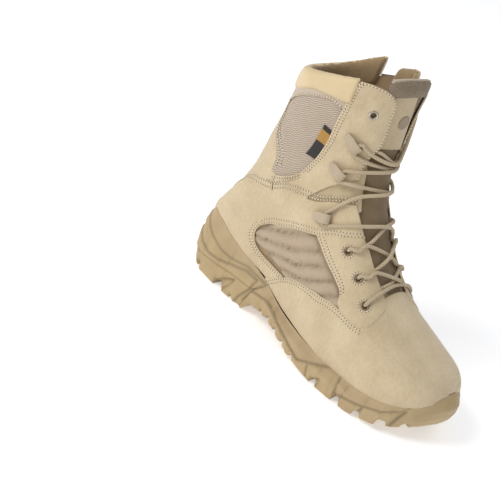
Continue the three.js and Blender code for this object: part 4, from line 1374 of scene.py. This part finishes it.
# %% The tread's sheet
def tread():
    start, end = TREAD_SPAN
    bm = bmesh.new()
    columns, rows = round((end - start) / TREAD_CELL), round(TREAD_WIDTH / TREAD_CELL)
    bmesh.ops.create_grid(bm, x_segments=columns, y_segments=rows, size=0.5)
    cells = np.array([vert.co for vert in bm.verts]) + 0.5
    x = start + (end - start) * cells[:, 0]
    outer = -(sole_number(x, "lateral") - TREAD_INSET)
    inner = sole_number(x, "medial") - TREAD_INSET
    y = outer + (inner - outer) * cells[:, 1]
    height, dark = tread_height(x, y)
    z = sole_number(x, "bottom", smooth=False) + TREAD_DEPTH - height
    # The stored number is painted shade in the tread's grooves.
    groove_shade = bm.verts.layers.float.new("groove_shade")
    for vert, place, depth in zip(bm.verts, np.stack([x, y, z], -1) + TABLE_TO_FRAME, dark):
        vert.co = place
        vert[groove_shade] = depth
    bmesh.ops.reverse_faces(bm, faces=bm.faces[:])
    bm.normal_update()
    bmesh.ops.solidify(bm, geom=bm.faces[:], thickness=1.4)
    bmesh.ops.recalc_face_normals(bm, faces=bm.faces[:])
    add_piece("tread", bm, SOLE_RUBBER)


tread()

# %% [markdown]
# ## Sweeping a section along a path
# Laces and webbing are both one section carried along a line. A flat grid is wrapped into the
# tube: its columns go round the section and its rows along the path. The UV map keeps millimetres.

# %% Sweeps
def smooth_path(points, spacing=1.3):
    """A smooth line through points in space, with evenly spaced corners."""
    rows = np.array(points, float)
    at = np.linspace(0, len(rows) - 1, 24 * len(rows))
    fine = np.stack([smooth_column(rows[:, i], at) for i in range(3)], -1)
    lengths = np.concatenate([[0], np.cumsum(np.linalg.norm(np.diff(fine, axis=0), axis=1))])
    even = np.linspace(0, lengths[-1], max(3, round(lengths[-1] / spacing)))
    return np.stack([np.interp(even, lengths, fine[:, i]) for i in range(3)], -1)


def unit(vectors):
    return vectors / np.maximum(np.linalg.norm(vectors, axis=-1, keepdims=True), 1e-9)


def sweep(path, side, section, widths=None):
    """A closed tube: the section's first axis follows `side`, its second the path's normal."""
    ahead = unit(np.gradient(path, axis=0))
    side = unit(side - np.sum(side * ahead, -1, keepdims=True) * ahead)
    normal = np.cross(side, ahead)
    section = np.array(section, float)
    widths = np.ones(len(path)) if widths is None else widths
    rings = path[:, None] + side[:, None] * (section[:, 0] * widths[:, None])[..., None]
    rings = rings + normal[:, None] * section[:, 1][None, :, None]
    return rings


def skin(rings):
    """A closed mesh through rings of corners, with a cap on each end."""
    rows, count = rings.shape[:2]
    bm = bmesh.new()
    bmesh.ops.create_grid(bm, x_segments=count, y_segments=rows - 1, size=0.5)
    around = np.linalg.norm(rings[0] - np.roll(rings[0], 1, 0), axis=1).sum()
    along = np.concatenate([[0], np.cumsum(np.linalg.norm(np.diff(rings[:, 0], axis=0), axis=1))])
    uv = bm.loops.layers.uv.new("UVMap")
    cells = {}
    for vert in bm.verts:
        cells[vert] = (round((vert.co.x + 0.5) * count), round((vert.co.y + 0.5) * (rows - 1)))
    for face in bm.faces:
        for loop in face.loops:
            column, row = cells[loop.vert]
            loop[uv].uv = (column * around / count, along[row])
    for vert, (column, row) in cells.items():
        vert.co = rings[row][column % count]
    bmesh.ops.remove_doubles(bm, verts=bm.verts[:], dist=1e-4)
    bmesh.ops.holes_fill(bm, edges=[edge for edge in bm.edges if edge.is_boundary], sides=0)
    bmesh.ops.recalc_face_normals(bm, faces=bm.faces[:])
    return bm


def round_section(radius, corners=10):
    turns = np.arange(corners) * 2 * math.pi / corners
    return np.stack([radius * np.cos(turns), radius * np.sin(turns)], -1)


def flat_section(width, thickness, corners=8, gathers=0.0):
    """A strap's section: flat on both faces, with `gathers` as ripples in its upper one."""
    across = np.linspace(-0.5, 0.5, corners)
    top = [(width * u, thickness / 2 + gathers * math.cos(2 * math.pi * 4 * u)) for u in across]
    return top + [(width * u, -thickness / 2) for u in across[::-1]]


def on_surface(places):
    """Points for a list of (station, angle, height)."""
    rows = np.array(places, float)
    return on_last(rows[:, 0], rows[:, 1], rows[:, 2])


def join_pieces(parts):
    """Puts several small meshes into one."""
    whole = bmesh.new()
    for part in parts:
        mesh = bpy.data.meshes.new("part")
        part.to_mesh(mesh)
        part.free()
        whole.from_mesh(mesh)
        bpy.data.meshes.remove(mesh)
    return whole


def surface_turn(station, angle, height, across, ahead):
    """A matrix that stands a small part on the last, with its X along a direction in the surface."""
    along, around, out = (axis[0] for axis in last_axes(np.array([station]), np.array([angle])))
    x = unit(across * around + ahead * along)
    place = on_last(np.array([station]), np.array([angle]), np.array([height]))[0]
    turn = Matrix((x, np.cross(out, x), out)).transposed().to_4x4()
    return Matrix.Translation(place) @ turn


# %% [markdown]
# ## Eyelets
# The three lower eyelets are small painted rims sewn round with a ring of stitches. The top one is a
# bigger spun metal ring. A ring is a small circle spun once round the eyelet's middle.

# %% Eyelets
PAINTED_METAL = metal("painted_eyelet", (0.20, 0.145, 0.08), (0.32, 0.24, 0.14), 0.45)
PAINTED_METAL.node_tree.nodes["Principled BSDF"].inputs["Metallic"].default_value = 0.15


def ring(radius, thick, tall):
    bm = bmesh.new()
    made = bmesh.ops.create_circle(bm, segments=8, radius=1.0)["verts"]
    bmesh.ops.scale(bm, vec=(thick, tall, 1), verts=made)
    bmesh.ops.rotate(bm, cent=(0, 0, 0), matrix=Matrix.Rotation(math.pi / 2, 3, "X"), verts=made)
    bmesh.ops.translate(bm, vec=(radius, 0, 0), verts=made)
    bmesh.ops.spin(
        bm, geom=bm.edges[:], cent=(0, 0, 0), axis=(0, 0, 1), angle=2 * math.pi, steps=28, use_merge=True)
    bmesh.ops.recalc_face_normals(bm, faces=bm.faces[:])
    return bm


def eyelets(side):
    rings = []
    for station, angle in EYELETS + [TOP_EYELET]:
        top = (station, angle) == TOP_EYELET
        angle = angle if side == "outer" else 360 - angle
        made = ring(3.25, 0.8, 0.6) if top else ring(3.3, 0.65, 0.5)
        turn = surface_turn(station, angle, 1.15 if top else 0.75, 1, 0)
        bmesh.ops.transform(made, matrix=turn, verts=made.verts[:])
        for face in made.faces:
            face.material_index = 1 if top else 0
        rings.append(made)
    metals = [PAINTED_METAL, BRIGHT_METAL]
    made = add_piece(f"eyelet_rings_{side}", join_pieces(rings), metals)
    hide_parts("eyelet_lateral" if side == "outer" else "eyelet_medial")


eyelets("outer")
eyelets("inner")

# %% [markdown]
# ## Webbing loops
# Above the eyelets the lace runs through loops of webbing. Each loop is one short strap, gathered to a
# point where it is sewn into a slit, and folded over at its wide end to make the eye.

# %% Webbing loops
LOOP_PATH = [(-9.6, 0.2), (-8.4, 2.0), (-4.6, 4.2), (-0.5, 5.7), (3.4, 6.3), (6.2, 5.7), (7.6, 3.9),
             (6.9, 2.1),
             (4.6, 1.1), (0, 1.0), (-6.0, 0.6)]
LOOP_WIDTHS = [0.42, 0.70, 0.92, 1.0, 1.0, 1.0, 1.0, 1.0, 0.95, 0.8, 0.5]
LOOP_WIDTH = 8.6
LOOP_TILT = 30
LOOP_EYE = 4.2  # from the loop's middle to the middle of its eye


def loop_axes(station, angle, side):
    """A loop's own directions on the last: towards the throat and a little down, across, and out."""
    along, around, out = (axis[0] for axis in last_axes(np.array([station]), np.array([angle])))
    throat = -around if side == "outer" else around
    tilt = math.radians(LOOP_TILT)
    forward = throat * math.cos(tilt) - along * math.sin(tilt)
    return forward, np.cross(out, forward), out


def webbing_loop(side, number, station, angle):
    angle = angle if side == "outer" else 360 - angle
    forward, across, out = loop_axes(station, angle, side)
    base = on_last(np.array([station]), np.array([angle]), np.array([0.6]))[0]
    path = smooth_path([base + forward * d + out * h for d, h in LOOP_PATH], 0.7)
    widths = np.interp(np.linspace(0, 1, len(path)), np.linspace(0, 1, len(LOOP_WIDTHS)), LOOP_WIDTHS)
    section = flat_section(LOOP_WIDTH, 0.9, 17, 0.34)
    made = skin(sweep(path, np.repeat(across[None], len(path), 0), section, widths))
    made = add_piece(f"webbing_loop_{side}_{number}", made, LOOP_CLOTH)
    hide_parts(f"lace_loop_{'lateral' if side == 'outer' else 'medial'}_{number}")


for side in ("outer", "inner"):
    for number, (station, angle) in enumerate(LOOPS, 1):
        webbing_loop(side, number, station, angle)

# %% [markdown]
# ## Laces
# One lace makes a bar over the lowest eyelets. Each end goes down through its eyelet, comes out from
# under the facing's edge, crosses the tongue and enters the next eyelet from above. Higher up it is
# threaded through the webbing loops. The ends stop out of sight at the top eyelets.

# %% Laces
LACE_RADIUS = 1.65
FACING_FRONT = [(4.8, 21), (5.5, 19), (6.33, 23), (7.25, 29), (8.2, 35), (9.08, 36), (9.78, 31),
                (10.33, 22), (12.35, 22)]


def front_edge(station):
    return float(np.interp(station, *np.array(FACING_FRONT).T))


def through_loop(station, angle, hand):
    """The lace's way through one loop, from below to above."""
    side = "outer" if hand > 0 else "inner"
    forward, across, out = loop_axes(station, hand * angle, side)
    across = across if hand > 0 else -across
    base = on_surface([(station, hand * angle, 0.6)])[0]
    eye = base + forward * LOOP_EYE + out * 3.7
    upward = across if across[2] > 0 else -across
    return [eye - upward * 5.6 - out * 0.9, eye, eye + upward * 5.6 - out * 0.7]


def over_edge(station, hand, angle):
    """The lace lying over a facing, from its front edge back to an eyelet or a loop."""
    edge = front_edge(station)
    return list(on_surface([(station, hand * (edge + 1), 2.5), (station, hand * (edge + angle) / 2, 2.6)]))


UNDER_EDGE = [5.38, 6.05, 6.92]  # the stations where the strands come out from under the edge
CROSSINGS = [5.46, 6.30, 7.20, 8.34, 9.15, 9.42]
LOOP_EDGES = [(7.55, 8.50), (8.87, 9.35),
              (9.70, 9.95)]  # where the strands below and above each loop pass the edge


def lace_end(hand):
    """The path of one end, from the middle of the lowest bar to the top of the throat."""
    station, angle = EYELETS[0]
    first = hand
    points = list(on_surface([(station + 0.02, 0, 1.2)])) + over_edge(station, hand, angle)
    for rung, (station, angle) in enumerate(EYELETS):
        if rung:
            points += over_edge(station - 0.2, hand, angle)
        under = UNDER_EDGE[rung]
        edge = front_edge(under)
        points += list(on_surface([
            (station, hand * (angle - 3.5), 1.9), (station + 0.02, hand * angle, -0.6),
            (station + 0.02, hand * (angle - 5), -2.9), (under, hand * (edge + 1), -2.0),
            (under + 0.01, hand * (edge - 6), 0.0),
            (CROSSINGS[rung], hand * 2, 0.5 if first > 0 else 3.9)]))
        hand = -hand
    for rung, (station, angle) in enumerate(LOOPS):
        low, high = LOOP_EDGES[rung]
        points += list(on_surface([(low, hand * (front_edge(low) + 1), 2.6)]))
        points += through_loop(station, angle, hand)
        points += list(on_surface([(high, hand * (front_edge(high) + 1), 2.6)]))
        over = (first > 0) != (rung == 1)
        points += list(on_surface([(CROSSINGS[3 + rung], hand * 2, 0.7 if over else 4.2)]))
        hand = -hand
    station, angle = TOP_EYELET
    if hand < 0:
        points += list(on_surface([
            (9.95, hand * 20, 2.6), (11.0, hand * 30, 2.6), (station - 0.12, hand * (angle - 3), 2.2),
            (station, hand * angle, 0.2), (station + 0.1, hand * (angle + 2), -3.0)]))
    else:
        points += list(on_surface([(9.9, hand * 19, 0.0), (10.1, hand * 30, -2.4)]))
    return points


def laces():
    left = lace_end(1)
    right = lace_end(-1)
    path = smooth_path(left[::-1] + right[1:])
    ahead = unit(np.gradient(path, axis=0))
    height = path[:, 2]
    middle = np.stack([-30.0 - 0.25 * (height - 60), np.full(len(path), 3.0), height * 0.9], -1)
    side = np.cross(ahead, unit(path - middle))
    made = add_piece("lace", skin(sweep(path, side, round_section(LACE_RADIUS))), LACE_BRAID)
    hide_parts("laces")
    length = np.linalg.norm(np.diff(path, axis=0), axis=1).sum()
    print("the lace is", round(length), "mm long")


laces()

# %% [markdown]
# ## Zip
# The zip on the inner side lets the foot in. Its tape is cut like a panel. The teeth are two rows of
# small blocks in turn. The slider and its pull are the imported ones, in dark metal.

# %% Zip
def line_on_last(line, spacing, shift=0.0):
    """Evenly spaced places along a line on the last, shifted sideways in millimetres."""
    rows = np.array(flowing(line) + [line[-1]], float)
    flat = np.array([to_flat(*row) for row in rows])
    ahead = unit(np.gradient(flat, axis=0))
    flat = flat + np.stack([-ahead[:, 1], ahead[:, 0]], -1) * shift
    station, angle = from_flat(flat[:, 0], flat[:, 1])
    points = last_point(station, angle)
    lengths = np.concatenate([[0], np.cumsum(np.linalg.norm(np.diff(points, axis=0), axis=1))])
    count = max(2, round(lengths[-1] / spacing))
    at = (np.arange(count) + 0.5) * lengths[-1] / count
    station, angle = np.interp(at, lengths, station), np.interp(at, lengths, angle)
    return station, angle


def along_line(line, spacing, height, shift=0.0):
    """A matrix at each place along a line, with X ahead and Z out of the surface."""
    station, angle = line_on_last(line, spacing, shift)
    top = height(station, angle) if callable(height) else height
    points = on_last(station, angle, top + 0 * station)
    out = last_axes(station, angle)[2]
    ahead = unit(np.gradient(points, axis=0))
    ahead = unit(ahead - np.sum(ahead * out, -1, keepdims=True) * out)
    turns = []
    for point, x, z in zip(points, ahead, out):
        turns.append(Matrix.Translation(point) @ Matrix((x, np.cross(z, x), z)).transposed().to_4x4())
    return turns


def zip_tape():
    left = [(station, angle - 7) for station, angle in ZIP_LINE]
    right = [(station, angle + 7) for station, angle in ZIP_LINE]
    loop = outline(left, [left[-1], right[-1]], backwards(right), [right[0], left[0]])
    made = panel("zip_cloth", [loop], -0.75, 0.9, ZIP_CLOTH)
    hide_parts("zip_tape")


def zip_teeth():
    bm = bmesh.new()
    for number, turn in enumerate(along_line(ZIP_LINE, 1.25, 0.1)):
        lean = 0.75 if number % 2 else -0.75
        size = Matrix.Diagonal((0.95, 2.4, 1.3, 1.0))
        bmesh.ops.create_cube(bm, size=1.0, matrix=turn @ Matrix.Translation((0, lean, 0)) @ size)
    bmesh.ops.bevel(bm, geom=bm.edges[:], offset=0.16, segments=1, affect="EDGES", profile=0.5, material=-1)
    made = add_piece("zip_teeth_rows", bm, DARK_METAL, smooth=False)
    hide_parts("zip_teeth")


zip_tape()
zip_teeth()
for node in ("zip_slider", "zip_pull"):
    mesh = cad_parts[node].data
    mesh.materials.clear()
    mesh.materials.append(DARK_METAL)

# %% [markdown]
# ## Side tag
# A small woven tag is caught in the seam between the mesh and the facing. It carries no words here: it is
# black, with one plain amber block.

# %% Side tag
BLACK_WEAVE = webbing("black_weave", (0.035, 0.028, 0.024), (0.012, 0.010, 0.009), 0.8)
AMBER_WEAVE = webbing("amber_weave", (0.66, 0.36, 0.07), (0.38, 0.19, 0.03), 0.8)
TAG = [(11.86, 82), (11.36, 72), (10.36, 76), (10.78, 87.5)]
TAG_BLOCK = (0.14, 0.52)


def side_tag():
    """The tag's own corners give its length; the amber block lies between two shares of it."""
    panel("side_tag", [outline(*zip(TAG, TAG[1:] + TAG[:1]))], 0.45, 0.5, BLACK_WEAVE)
    top, front, low, back = (np.array(corner) for corner in TAG)
    start, end = TAG_BLOCK
    block = [top + (back - top) * start, front + (low - front) * start, front + (low - front) * end,
             top + (back - top) * end]
    panel("side_tag_block", [outline(*zip(block, block[1:] + block[:1]))], 0.6, 0.4, AMBER_WEAVE)


side_tag()

# %% [markdown]
# ## Stitches
# The seams are sewn in two rows close together. Every stitch is one small oval bead of thread with a
# dark disc behind it, painted shade for its needle hole. They follow the same lines as the panels' edges,
# set in by a few millimetres.

# %% Stitches
PITCH = 2.8
ROWS = (1.5, 3.9)  # how far in each row of a seam lies
OTHER_WAY = (-1.5, -3.9)  # the same rows on the line's other side
# A dark disc between the beads, painted shade for the needle holes.
NEEDLE_HOLE_SHADE = thread("needle_hole_shade", (0.27, 0.20, 0.12), (0.16, 0.115, 0.065))


def stitch():
    """One bead of thread along X, with a dark disc of painted shade for its needle hole behind it, in
    millimetres.
    """
    bm = bmesh.new()
    bmesh.ops.create_uvsphere(
        bm, u_segments=6, v_segments=4, radius=1.0, matrix=Matrix.Diagonal((1.05, 0.5, 0.42, 1)))
    hole_shade = bmesh.ops.create_icosphere(
        bm, subdivisions=1, radius=1.0,
        matrix=Matrix.Translation((PITCH / 2, 0, -0.02)) @ Matrix.Diagonal((0.55, 0.6, 0.2, 1)))
    for face in {face for vert in hole_shade["verts"] for face in vert.link_faces}:
        face.material_index = 1
    mesh = bpy.data.meshes.new("stitch")
    bm.to_mesh(mesh)
    bm.free()
    return mesh


def add_copies(bm, mesh, turns):
    """Adds one copy of a small mesh for each matrix."""
    for turn in turns:
        mesh.transform(turn)
        bm.from_mesh(mesh)
        mesh.transform(turn.inverted())


def seam(line, height, insets):
    """The rows of a seam; a negative inset lies on the line's other side."""
    turns = []
    for inset in insets:
        turns += along_line(line, PITCH, height, inset)
    return turns


def ring_of_stitches(place, radius, height, count):
    station, angle = place
    turns = []
    for i in range(count):
        turn = surface_turn(station, angle, height, 1, 0) @ Matrix.Rotation(2 * math.pi * i / count, 4, "Z")
        turns.append(turn @ Matrix.Translation((0, radius, 0)))
    return turns


def crown(height):
    """A height function that lies just above a panel's own height function."""
    return lambda station, angle: height(station, angle) + 0.12


STRAP_SEAM = STRAP_FOOT[:3] + [(7.2, 34)]  # it stops short of the strap's front edge
SEAMS = [  # line on the outer side, height, insets
    (VAMP_EDGE, crown(vamp_height), OTHER_WAY),
    (ANKLE_SEAM, crown(counter_height), OTHER_WAY),
    (WINDOW_TOP, crown(counter_height), ROWS),
    (STRAP_SEAM, crown(counter_height), ROWS),
    (WINDOW_BACK, crown(counter_height), ROWS),
    (WINDOW_FRONT, 0.72, ROWS),
    (FACING_EDGE, 1.02, (1.5,)),
    (FACING_BACK, 1.02, ROWS),
    (MESH_FOOT[:3], 1.02, ROWS),
    (MESH_BACK, 0.22, OTHER_WAY),
    (MESH_TOP, 0.62, (1.4,)),
]
INNER_SEAMS = [
    (VAMP_EDGE, crown(vamp_height), OTHER_WAY),
    ([(8.28, 37), (8.65, 59), (9.05, 76), (9.42, 86)], crown(counter_height), OTHER_WAY),
    ([(9.92, 103), (10.28, 119), (10.5, 156), (10.5, 180)], crown(counter_height), OTHER_WAY),
    (STRAP_SEAM, crown(counter_height), ROWS),
    (WINDOW_FRONT, 0.72, ROWS),
    (FACING_EDGE, 1.02, (1.5,)),
    (MESH_BACK, 0.22, OTHER_WAY),
    ([(14.0, 86.5), (12.0, 87.0), (9.9, 86), (9.45, 87)], 1.02, (1.5,)),
]


def stitches(side):
    bm = bmesh.new()
    bead = stitch()
    seams = SEAMS if side == "outer" else INNER_SEAMS
    for line, height, insets in seams:
        if side == "inner":
            line = to_other_side(line)
            insets = [-inset for inset in insets]
        add_copies(bm, bead, seam(line, height, insets))
    for station, angle in EYELETS:
        place = (station, angle) if side == "outer" else (station, 360 - angle)
        add_copies(bm, bead, ring_of_stitches(place, 5.3, 0.72, 14))
    add_piece(f"stitches_{side}", bm, [THREAD, NEEDLE_HOLE_SHADE])


stitches("outer")
stitches("inner")

# %% [markdown]
# ## Studio
# The boot stands on a plain pale floor. One large soft light from the upper left gives the suede its
# shape, a weaker one fills the other side, and a pale world keeps the shadows soft.

# %% Floor, lights and camera
def studio():
    bm = bmesh.new()
    bmesh.ops.create_grid(bm, x_segments=1, y_segments=1, size=6)
    mesh = bpy.data.meshes.new("floor")
    bm.to_mesh(mesh)
    bm.free()
    floor = put_in_scene("floor", mesh)
    recipe = Recipe("pale_floor", 0.9)
    recipe.shader.inputs["Base Color"].default_value = (0.93, 0.93, 0.94, 1)
    recipe.shader.inputs["Emission Color"].default_value = (1, 1, 1, 1)
    recipe.shader.inputs["Emission Strength"].default_value = 0.4
    mesh.materials.append(recipe.material)


def soft_light(name, place, aim, power, size):
    lamp = bpy.data.lights.new(name, "AREA")
    lamp.energy = power
    lamp.size = size
    made = put_in_scene(name, lamp)
    made.location = place
    made.rotation_euler = (Vector(aim) - Vector(place)).to_track_quat("-Z", "Y").to_euler()


def camera(yaw, elevation, roll, distance, aim, lens):
    """A camera turned round the boot by yaw, raised by elevation and tipped by roll, all in degrees."""
    yaw, elevation, roll = (math.radians(turn) for turn in (yaw, elevation, roll))
    level = math.cos(elevation)
    back = Vector((math.sin(yaw) * level, -math.cos(yaw) * level, math.sin(elevation)))
    right = back.cross(Vector((0, 0, 1))).normalized() * -1
    up = back.cross(right)
    tipped_right = math.cos(roll) * right + math.sin(roll) * up
    tipped_up = math.cos(roll) * up - math.sin(roll) * right
    data = bpy.data.cameras.new("camera")
    data.lens = lens
    made = put_in_scene("camera", data)
    turn = Matrix((tipped_right, tipped_up, back)).transposed()
    made.matrix_world = Matrix.Translation(Vector(aim) + back * distance) @ turn.to_4x4()
    bpy.context.scene.camera = made


studio()
soft_light("key_light", (-0.9, -1.5, 1.7), (0, 0, 0.1), 27, 1.0)
soft_light("fill_light", (1.7, -0.6, 1.0), (0, 0, 0.1), 3, 1.6)
soft_light("back_light", (0.2, 1.6, 1.6), (0, 0, 0.15), 8, 1.4)
world = bpy.data.worlds.new("pale_world")
world.use_nodes = True
world.node_tree.nodes["Background"].inputs["Color"].default_value = (0.95, 0.97, 1.0, 1)
world.node_tree.nodes["Background"].inputs["Strength"].default_value = 0.42
bpy.context.scene.world = world
bpy.context.scene.view_settings.view_transform = "Standard"
camera(34.13, 27.11, 22.54, 1.03155, (-0.10195, 0.00226, 0.02817), 79.2)
print("the camera is", round(bpy.context.scene.camera.location.length, 2), "m away")
